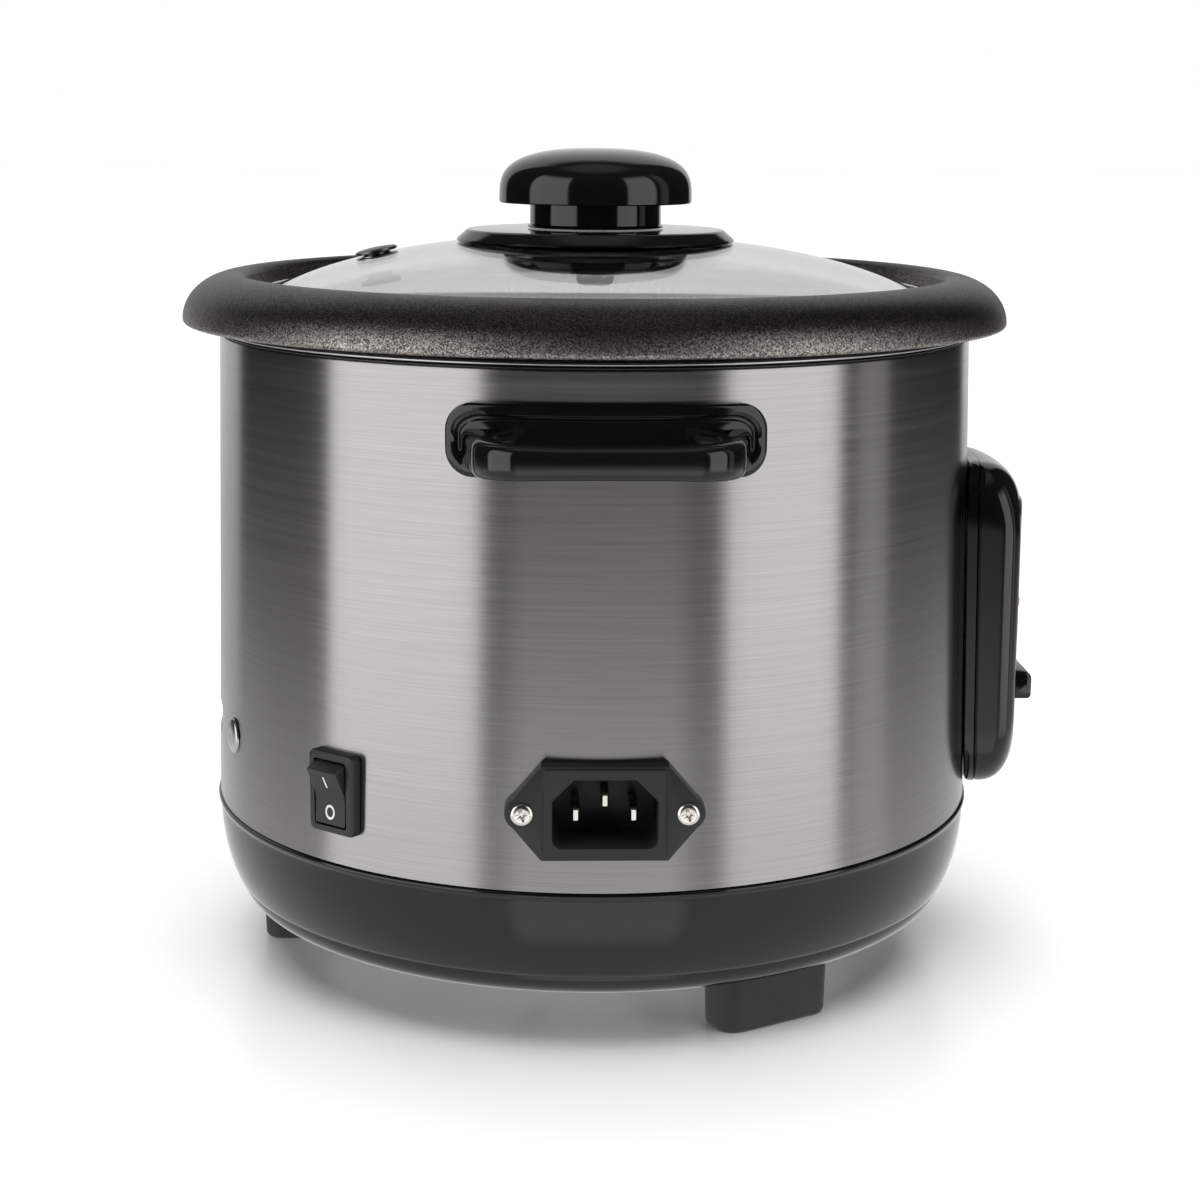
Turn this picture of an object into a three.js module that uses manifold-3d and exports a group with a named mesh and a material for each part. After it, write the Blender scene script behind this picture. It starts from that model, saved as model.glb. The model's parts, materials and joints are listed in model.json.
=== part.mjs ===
// Drum rice cooker: brushed outer shell, moulded base on three feet, hanging pot, glass lid,
// spring-held temperature sensor, cook lever, rocker power switch and a three-pin mains inlet.
// Millimetres, +Z up, front (control panel) towards -Y, side handles on the X axis.
import * as THREE from 'three';
import { mergeVertices } from 'three/addons/utils/BufferGeometryUtils.js';
import Module from 'manifold-3d';

const wasm = await Module();
wasm.setup();

// ---------------------------------------------------------------- driving sizes
const seamRadius = 105.4; // outer shell radius where it meets the base
const shellTaper = 3.2; // how much narrower the shell is at its top edge
const shellHeight = 127.3; // shell, bottom edge to top edge
const baseHeight = 29.3; // moulded base, underside to ledge
const footHeight = 14.8; // floor to base underside
const compartmentHeight = 36.4; // shell bottom edge to the liner floor
const potWall = 1.8; // pot sheet thickness
const rimOverhang = 9.8; // pot rim beyond the shell's top edge
const rimRise = 15.6; // rim crest above the shell's top edge
const glassThickness = 4; // lid glass
const domeRise = 16.6; // lid dome, edge to centre
const handleReach = 25.5; // loop handle beyond the shell
const handleWidth = 76; // handle mounting plate
const panelWidth = 60; // control panel
const panelReach = 13.9; // control panel face beyond the seam radius
const buttonReach = 4.1; // cook lever tip beyond the panel face
const inletScrewPitch = 40; // appliance inlet fixing centres
const knobHeight = 21.5; // knob top above the knob flange
const knobRadius = 26.3; // knob cap
const leverStroke = 5; // degrees the cook lever turns

// ---------------------------------------------------------------- clearances and sheet
const gap = 0.3; // between parts that touch or pass through one another
const shellSheet = 0.8;
const linerSheet = 0.7;
const baseWall = 2.4;
const round = 32; // facets on the large turned parts
const fine = 20; // facets on the medium turned parts
const small = 8; // facets on pins and screws

// ---------------------------------------------------------------- levels
const facetSag = seamRadius * (1 - Math.cos(Math.PI / round)); // flat of a facet inside its arc
const baseTop = footHeight + baseHeight;
const shellBottom = baseTop + gap;
const shellTop = shellBottom + shellHeight;
const topRadius = seamRadius - shellTaper;
const linerFloor = shellBottom + compartmentHeight;
const linerTop = shellTop + gap + linerSheet;
const elementRadius = 3.1;
const elementLevel = linerFloor + linerSheet + elementRadius + 0.9;
const plateUnder = elementLevel + elementRadius + 0.4;
const plateTop = plateUnder + 6.8;
const potUnder = plateTop + gap;
const potFloor = potUnder + potWall;
const rimRadius = topRadius + rimOverhang;
const rimCrest = shellTop + rimRise;
const rimEdge = rimCrest - 12;
const potOuter = topRadius - 8.9;
const potInner = potOuter - potWall;
const lidLedge = rimEdge;
const ledgeRadius = potInner + 3.5;
const crestRadius = ledgeRadius + 2.5;
const linerInner = potOuter + 1.9;
const linerOuter = linerInner + linerSheet;

const FRONT = 270;
const BACK = 90;
const LEFT = 180;
const RIGHT = 0;

function shellRadius(z) {
  return seamRadius - shellTaper * ((z - shellBottom) / shellHeight);
}

// ---------------------------------------------------------------- materials
function finish(color, roughness, metalness) {
  return new THREE.MeshStandardMaterial({ color, roughness, metalness });
}

const brushedSteel = finish(0xb9bbbd, 0.32, 1);
const plainSteel = finish(0xa6a8aa, 0.38, 1);
const castAluminium = finish(0x9da0a3, 0.5, 1);
const nonStick = finish(0x3b3836, 0.42, 0.3);
const glossBlack = finish(0x0b0b0c, 0.16, 0);
const satinBlack = finish(0x17171a, 0.5, 0);
const rubberBlack = finish(0x141415, 0.8, 0);
const nickel = finish(0xc6c4bd, 0.25, 1);
const clearGlass = new THREE.MeshStandardMaterial({
  color: 0xdfe8ea,
  roughness: 0.04,
  metalness: 0,
  transparent: true,
  opacity: 0.28,
});
const redLens = finish(0xd23a1e, 0.25, 0);
const amberLens = finish(0xe39a1c, 0.25, 0);
const ferriteGrey = finish(0x3f4044, 0.7, 0.1);
const brass = finish(0xc9a24a, 0.35, 1);
const faceSilver = finish(0x8d9093, 0.42, 0.6);
const wireBrown = finish(0x5b3522, 0.6, 0);
const wireBlue = finish(0x23477c, 0.6, 0);
const wireGreen = finish(0x4e7d2c, 0.6, 0);
const ceramic = finish(0xe8e2d2, 0.7, 0);

// ---------------------------------------------------------------- solids
function enclosedVolume(positions, index) {
  let sum = 0;
  const a = new THREE.Vector3();
  const b = new THREE.Vector3();
  const c = new THREE.Vector3();
  for (let i = 0; i < index.length; i += 3) {
    a.fromArray(positions, index[i] * 3);
    b.fromArray(positions, index[i + 1] * 3);
    c.fromArray(positions, index[i + 2] * 3);
    sum += a.dot(b.cross(c)) / 6;
  }
  return sum;
}

// Turns any closed geometry into a solid with its faces outwards.
function solid(geometry) {
  const bare = geometry.clone();
  bare.deleteAttribute('normal');
  bare.deleteAttribute('uv');
  const welded = mergeVertices(bare, 1e-4);
  const positions = welded.attributes.position.array;
  const kept = [];
  const source = welded.index.array;
  for (let i = 0; i < source.length; i += 3) {
    const [a, b, c] = [source[i], source[i + 1], source[i + 2]];
    if (a !== b && b !== c && a !== c) {
      kept.push(a, b, c);
    }
  }
  if (enclosedVolume(positions, kept) < 0) {
    kept.reverse();
  }
  const mesh = new wasm.Mesh({
    numProp: 3,
    vertProperties: Float32Array.from(positions),
    triVerts: Uint32Array.from(kept),
  });
  return new wasm.Manifold(mesh);
}

function geometryOf(manifold) {
  const mesh = manifold.getMesh();
  const geometry = new THREE.BufferGeometry();
  const stride = mesh.numProp;
  const count = mesh.vertProperties.length / stride;
  const positions = new Float32Array(count * 3);
  for (let i = 0; i < count; i += 1) {
    positions.set(mesh.vertProperties.subarray(i * stride, i * stride + 3), i * 3);
  }
  geometry.setAttribute('position', new THREE.BufferAttribute(positions, 3));
  geometry.setIndex(new THREE.BufferAttribute(Uint32Array.from(mesh.triVerts), 1));
  geometry.computeVertexNormals();
  return geometry;
}

// A body turned about the Z axis from [radius, height] points.
function turned(points, facets) {
  const outline = points.map(([r, z]) => new THREE.Vector2(r, z));
  const start = outline[0];
  const end = outline[outline.length - 1];
  if (start.x > 0 || end.x > 0) {
    outline.push(start.clone());
  }
  const geometry = new THREE.LatheGeometry(outline, facets);
  geometry.rotateX(Math.PI / 2);
  return solid(geometry);
}

// Points along an elliptical arc, centre (r, z), half axes (a, b), angles in degrees.
function arc(r, z, a, b, from, to, count) {
  const points = [];
  for (let i = 0; i <= count; i += 1) {
    const angle = THREE.MathUtils.degToRad(from + ((to - from) * i) / count);
    points.push([r + a * Math.cos(angle), z + b * Math.sin(angle)]);
  }
  return points;
}

function rod(radius, bottom, top, facets = small) {
  return turned([[0, bottom], [radius, bottom], [radius, top], [0, top]], facets);
}

function prism(shape, depth, curveSegments = 2) {
  const settings = { depth, bevelEnabled: false, curveSegments };
  return solid(new THREE.ExtrudeGeometry(shape, settings));
}

function roundedShape(width, height, radius) {
  const x = width / 2;
  const y = height / 2;
  const shape = new THREE.Shape();
  shape.moveTo(-x + radius, -y);
  shape.lineTo(x - radius, -y);
  shape.absarc(x - radius, -y + radius, radius, -Math.PI / 2, 0, false);
  shape.lineTo(x, y - radius);
  shape.absarc(x - radius, y - radius, radius, 0, Math.PI / 2, false);
  shape.lineTo(-x + radius, y);
  shape.absarc(-x + radius, y - radius, radius, Math.PI / 2, Math.PI, false);
  shape.lineTo(-x, -y + radius);
  shape.absarc(-x + radius, -y + radius, radius, Math.PI, Math.PI * 1.5, false);
  return shape;
}

function polygonShape(points) {
  return new THREE.Shape(points.map(([x, y]) => new THREE.Vector2(x, y)));
}

function block(width, depth, bottom, top) {
  return prism(polygonShape([
    [-width / 2, -depth / 2],
    [width / 2, -depth / 2],
    [width / 2, depth / 2],
    [-width / 2, depth / 2],
  ]), top - bottom).translate([0, 0, bottom]);
}

function tube(points, radius, steps, facets = 8, closed = false) {
  const path = new THREE.CatmullRomCurve3(points, closed, 'centripetal');
  const section = new THREE.Shape();
  section.absarc(0, 0, radius, 0, Math.PI * 2, false);
  const settings = { steps, extrudePath: path, curveSegments: facets };
  return solid(new THREE.ExtrudeGeometry(section, settings));
}

// Applies a basis: local x, y, z axes land on the three given directions, then an offset.
function oriented(body, xAxis, yAxis, zAxis, offset) {
  const m = new THREE.Matrix4().makeBasis(xAxis, yAxis, zAxis);
  m.setPosition(offset);
  return body.transform(Array.from(m.elements));
}

// Stands a body on the wall of the drum: local x runs to the right as seen from outside,
// local y runs up from the given level and local z runs outwards from the drum's axis.
function onWall(body, bearing, level) {
  const angle = THREE.MathUtils.degToRad(bearing);
  const outward = new THREE.Vector3(Math.cos(angle), Math.sin(angle), 0);
  const up = new THREE.Vector3(0, 0, 1);
  const right = new THREE.Vector3().crossVectors(up, outward);
  return oriented(body, right, up, outward, new THREE.Vector3(0, 0, level));
}

// Extrudes an outline drawn in (y, z) along X, centred on the YZ plane.
function acrossX(shape, width, curveSegments = 4) {
  const body = prism(shape, width, curveSegments).translate([0, 0, -width / 2]);
  return oriented(
    body,
    new THREE.Vector3(0, 1, 0),
    new THREE.Vector3(0, 0, 1),
    new THREE.Vector3(1, 0, 0),
    new THREE.Vector3(0, 0, 0),
  );
}

// The drum grown outwards by a margin, as a plug to cut wall-mounted parts to its curve.
function drumPlug(margin) {
  const low = shellBottom - 30;
  const high = shellTop + 30;
  return turned([
    [0, low],
    [shellRadius(low) + margin, low],
    [shellRadius(high) + margin, high],
    [0, high],
  ], round);
}

function pinHole(radius, from, to) {
  return rod(radius, from, to);
}

function mesh(name, body, material) {
  const node = new THREE.Mesh(geometryOf(body), material);
  node.name = name;
  return node;
}

// ---------------------------------------------------------------- groups
const group = new THREE.Group();
group.name = 'rice_cooker';
const body = new THREE.Group();
body.name = 'body';
const lid = new THREE.Group();
lid.name = 'lid';
const sensor = new THREE.Group();
sensor.name = 'sensor';
const lever = new THREE.Group();
lever.name = 'cook_lever';
const drumPlugs = { flush: drumPlug(gap), handle: drumPlug(4.3), base: drumPlug(3.4) };

// ---------------------------------------------------------------- levels of the wall fittings
const inletLevel = shellBottom + 21;
const switchLevel = shellBottom + 18.9;
const switchBearing = 141;
const holderLevel = shellBottom + 22;
const handleLevel = shellTop - 17.2;
const gripLevel = handleLevel - 1.9;
const panelBottom = shellBottom + 1.7;
const panelTop = shellTop - 34.6;
const panelMiddle = (panelBottom + panelTop) / 2;
const panelHeight = panelTop - panelBottom;
const tipLevel = shellBottom + 28.7;
const panelFace = seamRadius + panelReach;
const tipReach = panelFace + buttonReach;

// ---------------------------------------------------------------- outer shell
const inletHole = { width: 29.8, height: 21.2 };
const switchHole = { width: 13.4, height: 19.8 };
const leverSlot = { width: 12.6, bottom: tipLevel - 9.6, top: tipLevel + 3.2 };
const handleScrewPitch = 52;
const holderSlot = { width: 48, height: 8.5 };
const rivetBearings = [67.6, 112.4];

function wallCut(shape, bearing, level, from = seamRadius * 0.8, to = seamRadius * 1.2) {
  return onWall(prism(shape, to - from).translate([0, 0, from]), bearing, level);
}

function buildShell() {
  const lipRadius = linerOuter + 2;
  let shell = turned([
    [seamRadius, shellBottom],
    [topRadius, shellTop - 1],
    [topRadius - 0.9, shellTop],
    [lipRadius, shellTop],
    [lipRadius, shellTop - shellSheet],
    [topRadius - shellSheet - 0.4, shellTop - shellSheet],
    [topRadius - shellSheet, shellTop - 1.6],
    [seamRadius - shellSheet, shellBottom],
  ], round);
  const cuts = [
    wallCut(roundedShape(inletHole.width, inletHole.height, 1), LEFT, inletLevel),
    wallCut(roundedShape(switchHole.width, switchHole.height, 1), switchBearing, switchLevel),
    wallCut(roundedShape(holderSlot.width, holderSlot.height, 3), BACK, holderLevel),
    wallCut(
      roundedShape(leverSlot.width, leverSlot.top - leverSlot.bottom, 1),
      FRONT,
      (leverSlot.top + leverSlot.bottom) / 2,
    ),
  ];
  for (const side of [-1, 1]) {
    const hole = pinHole(1.8, seamRadius * 0.8, seamRadius * 1.2);
    cuts.push(onWall(hole.translate([(side * inletScrewPitch) / 2, 0, 0]), LEFT, inletLevel));
    for (const bearing of [LEFT, RIGHT]) {
      cuts.push(onWall(hole.translate([(side * handleScrewPitch) / 2, 0, 0]), bearing, handleLevel));
    }
  }
  for (const bearing of rivetBearings) {
    cuts.push(onWall(pinHole(2.2, seamRadius * 0.8, seamRadius * 1.2), bearing, holderLevel));
  }
  for (const cut of cuts) {
    shell = shell.subtract(cut);
  }
  return shell;
}

body.add(mesh('outer_shell', buildShell(), brushedSteel));

// ---------------------------------------------------------------- inner liner
const elementPitch = seamRadius * 0.57;
const elementGap = 12; // degrees from the rear centreline of the element to each end
const elementBend = 4.2; // arc from each upright end to the start of the flat ring
const elementStep = 8.6; // length of one straight stretch of the bent tube
const floorHole = 24;

function buildLiner() {
  let liner = turned([
    [floorHole, linerFloor],
    [linerOuter - 3, linerFloor],
    [linerOuter, linerFloor + 3],
    [linerOuter, shellTop + gap],
    [topRadius, shellTop + gap],
    [topRadius, linerTop],
    [linerInner, linerTop],
    [linerInner, linerFloor + 3.3],
    [linerInner - 2.6, linerFloor + linerSheet],
    [floorHole, linerFloor + linerSheet],
  ], round);
  for (const side of [-1, 1]) {
    const angle = THREE.MathUtils.degToRad(LEFT + side * elementGap);
    const hole = rod(elementRadius + 2.2, linerFloor - 1, linerFloor + 2);
    const x = elementPitch * Math.cos(angle);
    const y = elementPitch * Math.sin(angle);
    liner = liner.subtract(hole.translate([x, y, 0]));
  }
  return liner;
}

body.add(mesh('inner_liner', buildLiner(), plainSteel));

// ---------------------------------------------------------------- base, cover and feet
const baseCurve = 11.4; // how far the base tucks in towards the floor
const baseBottomRadius = seamRadius - baseCurve;
const ledgeDrop = 1.8;
const coverRadius = seamRadius * 0.72;
const coverSheet = 1.5;
const footPitch = baseBottomRadius - 7.8;
const footSize = { along: 33, across: 13.6, corner: 5 };
const footBearings = { back: BACK, front_left: BACK + 120, front_right: BACK - 120 };
const bossTop = footHeight + 12;

function atBearing(bodyPart, bearing, radius) {
  return bodyPart.translate([radius, 0, 0]).rotate([0, 0, bearing]);
}

function buildBase() {
  const ledgeUnder = baseTop - ledgeDrop;
  const curveHeight = ledgeUnder - footHeight;
  const spigot = seamRadius - shellSheet - gap - 0.1;
  const spigotTop = shellBottom + 5.6;
  const floorSheet = 2.2;
  const outer = arc(baseBottomRadius, ledgeUnder, baseCurve, curveHeight, 0, -90, 5);
  const inner = arc(
    baseBottomRadius,
    ledgeUnder,
    baseCurve - baseWall,
    curveHeight - floorSheet,
    -90,
    0,
    3,
  );
  let base = turned([
    [spigot, spigotTop],
    [spigot, baseTop],
    [seamRadius + 0.6, baseTop],
    [seamRadius + 0.6, ledgeUnder + 0.5],
    ...outer,
    [coverRadius + gap, footHeight],
    [coverRadius + gap, footHeight + coverSheet + gap],
    [coverRadius - 4, footHeight + coverSheet + gap],
    [coverRadius - 4, footHeight + coverSheet + gap + floorSheet],
    [coverRadius + 2.4, footHeight + coverSheet + gap + floorSheet],
    [coverRadius + 4, footHeight + floorSheet],
    ...inner,
    [spigot - baseWall, baseTop],
    [spigot - baseWall, spigotTop],
  ], round);
  for (const bearing of Object.values(footBearings)) {
    const boss = atBearing(rod(4.6, footHeight + 1, bossTop), bearing, footPitch);
    const hole = atBearing(rod(1.8, footHeight - 1, bossTop - 2), bearing, footPitch);
    base = base.add(boss).subtract(hole);
  }
  return base;
}

function buildCover() {
  let cover = rod(coverRadius, footHeight, footHeight + coverSheet, round);
  const slots = 8;
  for (let i = 0; i < slots; i += 1) {
    const slot = prism(roundedShape(coverRadius * 0.34, 5, 2.4), coverSheet * 3, 1);
    const lifted = slot.translate([coverRadius * 0.6, 0, footHeight - coverSheet]);
    cover = cover.subtract(lifted.rotate([0, 0, (360 / slots) * (i + 0.5)]));
  }
  return cover;
}

function buildFoot() {
  const outline = roundedShape(footSize.across - 1.6, footSize.along - 1.6, footSize.corner - 0.8);
  const settings = {
    depth: footHeight - gap - 1.6,
    bevelEnabled: true,
    bevelThickness: 0.8,
    bevelSize: 0.8,
    bevelSegments: 1,
    curveSegments: 2,
  };
  const block = solid(new THREE.ExtrudeGeometry(outline, settings)).translate([0, 0, 0.8]);
  return block.subtract(rod(3.9, -1, 6)).subtract(rod(1.8, 5, footHeight + 1));
}

body.add(mesh('base_housing', buildBase(), glossBlack));
body.add(mesh('bottom_cover', buildCover(), plainSteel));
for (const [place, bearing] of Object.entries(footBearings)) {
  body.add(mesh(`foot_${place}`, atBearing(buildFoot(), bearing, footPitch), rubberBlack));
  const screw = turned([
    [0, 3.2],
    [3.4, 3.2],
    [3.4, 6 - gap],
    [1.5, 6 - gap],
    [1.5, bossTop - 3],
    [0, bossTop - 3],
  ], small);
  body.add(mesh(`foot_screw_${place}`, atBearing(screw, bearing, footPitch), plainSteel));
}

// ---------------------------------------------------------------- heating plate and element
const plateRadius = potOuter - 11.3;
const sensorRadius = 15.2;

function buildPlate() {
  let plate = turned([
    [sensorRadius + 1.4, plateUnder],
    [plateRadius - 1, plateUnder],
    [plateRadius, plateUnder + 1],
    [plateRadius, plateTop - 1.5],
    [plateRadius - 1.5, plateTop],
    [sensorRadius + 1.4, plateTop],
  ], round);
  for (const bearing of [30, 150, 270]) {
    const leg = rod(4.5, linerFloor + linerSheet + gap, plateUnder + 1, 16);
    plate = plate.add(atBearing(leg, bearing, elementPitch + 12.5));
  }
  return plate;
}

function buildElement() {
  const points = [];
  const span = 180 - elementGap;
  const end = THREE.MathUtils.degToRad(elementGap);
  const bendDrop = 5;
  const bend = THREE.MathUtils.radToDeg(elementBend / elementPitch);
  const ringSteps = 2 * Math.round((Math.PI * elementPitch) / elementStep);
  for (const side of [-1, 1]) {
    const column = [];
    for (const drop of [linerFloor - 9, linerFloor - 3, elementLevel - bendDrop]) {
      const x = -elementPitch * Math.cos(end);
      column.push(new THREE.Vector3(x, side * elementPitch * Math.sin(end), drop));
    }
    if (side < 0) {
      points.push(...column);
      const steps = ringSteps / 2;
      for (let i = 0; i <= steps; i += 1) {
        const turn = THREE.MathUtils.degToRad(bend - span + ((span - bend) * 2 * i) / steps);
        const x = elementPitch * Math.cos(turn);
        points.push(new THREE.Vector3(x, elementPitch * Math.sin(turn), elementLevel));
      }
    } else {
      points.push(...column.reverse());
    }
  }
  return tube(points, elementRadius, ringSteps, 4);
}

body.add(mesh('heating_plate', buildPlate(), castAluminium));
body.add(mesh('heater_element', buildElement(), plainSteel));

// ---------------------------------------------------------------- temperature sensor and magnet
const sensorTravel = 2;
const cupSheet = 1.2;
const magnetHeight = 5;
const sleeveInner = 7.4;
const sleeveWall = 0.8;
const pivot = { y: -seamRadius * 0.455, z: shellBottom + 10.1 };
const magnetLift = -pivot.y * Math.tan(THREE.MathUtils.degToRad(leverStroke));
const ferriteTop = plateTop - cupSheet - gap;
const ferriteUnder = ferriteTop - 5.3;
const magnetTop = ferriteUnder - gap - sensorTravel - magnetLift;
const bracketFloor = linerFloor - 12.8;
const bracketSheet = 1;
const sleeveFoot = bracketFloor - 2;
const armTop = pivot.z - 1.5;
const armSheet = 2;
const collarGap = 0.7;

function buildSensorCup() {
  const r = sensorRadius;
  return turned([
    [0, plateTop],
    [r - 1.5, plateTop],
    [r, plateTop - 1.5],
    [r, plateTop - 11.2],
    [r - cupSheet, plateTop - 11.2],
    [r - cupSheet, plateTop - 2],
    [r - cupSheet - 0.7, plateTop - cupSheet],
    [0, plateTop - cupSheet],
  ], fine);
}

function buildSleeve() {
  const outer = sleeveInner + sleeveWall;
  return turned([
    [sleeveInner, ferriteTop],
    [sleeveInner, sleeveFoot - 1.2],
    [outer + 2.4, sleeveFoot - 1.2],
    [outer + 2.4, sleeveFoot],
    [outer, sleeveFoot],
    [outer, ferriteTop],
  ], fine);
}

function buildSensorSpring() {
  const turns = 5;
  const wire = 0.7;
  const from = bracketFloor + bracketSheet + gap + wire;
  const to = plateTop - cupSheet - gap - wire;
  const perTurn = 8;
  const points = [];
  for (let i = 0; i <= turns * perTurn; i += 1) {
    const turn = (i / perTurn) * Math.PI * 2;
    const z = from + ((to - from) * i) / (turns * perTurn);
    points.push(new THREE.Vector3(11 * Math.cos(turn), 11 * Math.sin(turn), z));
  }
  return tube(points, wire, turns * perTurn, 3);
}

function buildSensorBracket() {
  const hole = sleeveInner + sleeveWall + 0.8;
  const top = linerFloor - gap;
  return turned([
    [hole, bracketFloor],
    [floorHole + 0.8, bracketFloor],
    [floorHole + 0.8, top - bracketSheet],
    [floorHole + 8, top - bracketSheet],
    [floorHole + 8, top],
    [floorHole - 0.2, top],
    [floorHole - 0.2, bracketFloor + bracketSheet],
    [hole, bracketFloor + bracketSheet],
  ], fine);
}

function buildMagnetRod() {
  const collar = armTop + collarGap;
  const head = armTop - armSheet - collarGap;
  return turned([
    [0, head - 1.5],
    [3.4, head - 1.5],
    [3.4, head],
    [1.4, head],
    [1.4, collar],
    [3.6, collar],
    [3.6, collar + 1.2],
    [1.4, collar + 1.2],
    [1.4, magnetTop - magnetHeight - gap],
    [0, magnetTop - magnetHeight - gap],
  ], small);
}

sensor.add(mesh('sensor_cup', buildSensorCup(), castAluminium));
sensor.add(mesh('sensor_sleeve', buildSleeve(), brass));
sensor.add(mesh('sensor_ferrite', rod(sleeveInner - 0.4, ferriteUnder, ferriteTop, 16), ferriteGrey));
body.add(mesh('sensor_spring', buildSensorSpring(), plainSteel));
body.add(mesh('sensor_bracket', buildSensorBracket(), plainSteel));
const magnetBody = rod(sleeveInner - 0.5, magnetTop - magnetHeight, magnetTop, 16);
group.add(mesh('magnet', magnetBody, ferriteGrey));
group.add(mesh('magnet_rod', buildMagnetRod(), plainSteel));

// ---------------------------------------------------------------- cook lever
const armWidth = 9;
const riserAt = -(seamRadius - 14.4);
const tipHeight = 8.3;
const tipWidth = 26;
const tipBack = -(seamRadius + 3.1);
const strapEnd = -(tipReach - 7.6);
const cheekSheet = 1.2;
const cheekInner = armWidth / 2 + 0.8;

function buildArm() {
  const under = armTop - armSheet;
  const strapTop = tipLevel + armSheet / 2;
  const strapUnder = strapTop - armSheet;
  const outline = polygonShape([
    [6, under],
    [6, armTop],
    [riserAt + armSheet, armTop],
    [riserAt + armSheet, strapTop],
    [strapEnd, strapTop],
    [strapEnd, strapUnder],
    [riserAt, strapUnder],
    [riserAt, under],
  ]);
  const hub = new THREE.Shape();
  hub.absarc(pivot.y, pivot.z, 4, 0, Math.PI * 2, false);
  const bore = new THREE.Shape();
  bore.absarc(pivot.y, pivot.z, 1.5 + gap, 0, Math.PI * 2, false);
  const strip = acrossX(outline, armWidth).add(acrossX(hub, armWidth, 10));
  const rodHole = rod(2.5, under - 1, armTop + 1);
  return strip.subtract(acrossX(bore, armWidth * 2, 8)).subtract(rodHole);
}

function buildLeverBracket() {
  const top = linerFloor - gap;
  const low = pivot.z - 5;
  const outer = cheekInner + cheekSheet;
  const depth = 14;
  const plate = block(outer * 2, depth, top - cheekSheet, top).translate([0, pivot.y, 0]);
  const cheek = block(cheekSheet, depth, low, top);
  const left = cheek.translate([-(outer - cheekSheet / 2), pivot.y, 0]);
  const right = cheek.translate([outer - cheekSheet / 2, pivot.y, 0]);
  const wing = block(cheekSheet, 18, switchUnder - 1, switchUnder + 7.6);
  const mounted = wing.translate([outer - cheekSheet / 2, pivot.y + 13, 0]);
  const bore = new THREE.Shape();
  bore.absarc(pivot.y, pivot.z, 1.5 + gap, 0, Math.PI * 2, false);
  return plate.add(left).add(right).add(mounted).subtract(acrossX(bore, outer * 4, 8));
}

function buildLeverPin() {
  const pin = new THREE.Shape();
  pin.absarc(pivot.y, pivot.z, 1.5, 0, Math.PI * 2, false);
  return acrossX(pin, (cheekInner + cheekSheet) * 2 + 3, 6);
}

function buildTip() {
  const low = tipLevel - tipHeight / 2;
  const high = tipLevel + tipHeight / 2;
  const front = -tipReach;
  const outline = new THREE.Shape();
  outline.moveTo(tipBack, low);
  outline.lineTo(tipBack, high);
  outline.lineTo(front + 4, high);
  outline.quadraticCurveTo(front, high, front, high - 4);
  outline.lineTo(front, low + 1.5);
  outline.quadraticCurveTo(front, low, front + 1.5, low);
  const tip = acrossX(outline, tipWidth, 4);
  const pocketShape = polygonShape([
    [strapEnd - gap, tipLevel - armSheet / 2 - gap],
    [strapEnd - gap, tipLevel + armSheet / 2 + gap],
    [tipBack + 5, tipLevel + armSheet / 2 + gap],
    [tipBack + 5, tipLevel - armSheet / 2 - gap],
  ]);
  return tip.subtract(acrossX(pocketShape, armWidth + gap * 2));
}

function buildMicroSwitch() {
  const housing = block(5.8, 13, switchUnder, switchUnder + 6.6);
  const plunger = rod(1, switchUnder - 2, switchUnder + 1);
  const x = cheekInner - gap - 2.9;
  return housing.add(plunger.translate([0, 3, 0])).translate([x, pivot.y + 15.5, 0]);
}

const switchUnder = armTop + 6.5;
lever.add(mesh('lever_arm', buildArm(), plainSteel));
lever.add(mesh('cook_button', buildTip(), glossBlack));
body.add(mesh('lever_bracket', buildLeverBracket(), plainSteel));
body.add(mesh('lever_pin', buildLeverPin(), plainSteel));
body.add(mesh('micro_switch', buildMicroSwitch(), satinBlack));

// ---------------------------------------------------------------- thermal fuse
const fusePath = [
  new THREE.Vector3(36, 26, linerFloor - 2.4),
  new THREE.Vector3(36, 34, linerFloor - 2.4),
  new THREE.Vector3(36, 42, linerFloor - 2.4),
];
body.add(mesh('thermal_fuse', tube(fusePath, 1.9, 3, 8), ceramic));

// ---------------------------------------------------------------- control panel
const coverWall = 2.2;
const faceSheet = 0.6;

// One skin of the panel cover: front outline, side outline and a drum-concentric face.
function panelSkin(inset) {
  const width = panelWidth - inset * 2;
  const height = panelHeight - inset * 2;
  const face = panelFace - inset;
  const outline = roundedShape(width, height, 16 - inset);
  const front = wallCut(outline, FRONT, panelMiddle, seamRadius * 0.8, panelFace + 5);
  const drum = turned([
    [0, shellBottom - 20],
    [face, shellBottom - 20],
    [face, shellTop + 20],
    [0, shellTop + 20],
  ], round * 2);
  const low = panelBottom + inset;
  const high = panelTop - inset;
  const side = new THREE.Shape();
  side.moveTo(0, low);
  side.lineTo(-(seamRadius + 5.5 - inset), low);
  side.quadraticCurveTo(-face, low + 0.5, -face, low + 11);
  side.lineTo(-face, high - 16);
  side.quadraticCurveTo(-face + 0.5, high - 1.5, -(seamRadius + 1 - inset), high);
  side.lineTo(0, high);
  const sideBody = acrossX(side, panelWidth + 10, 6);
  return front.intersect(sideBody).intersect(drum);
}

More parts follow.
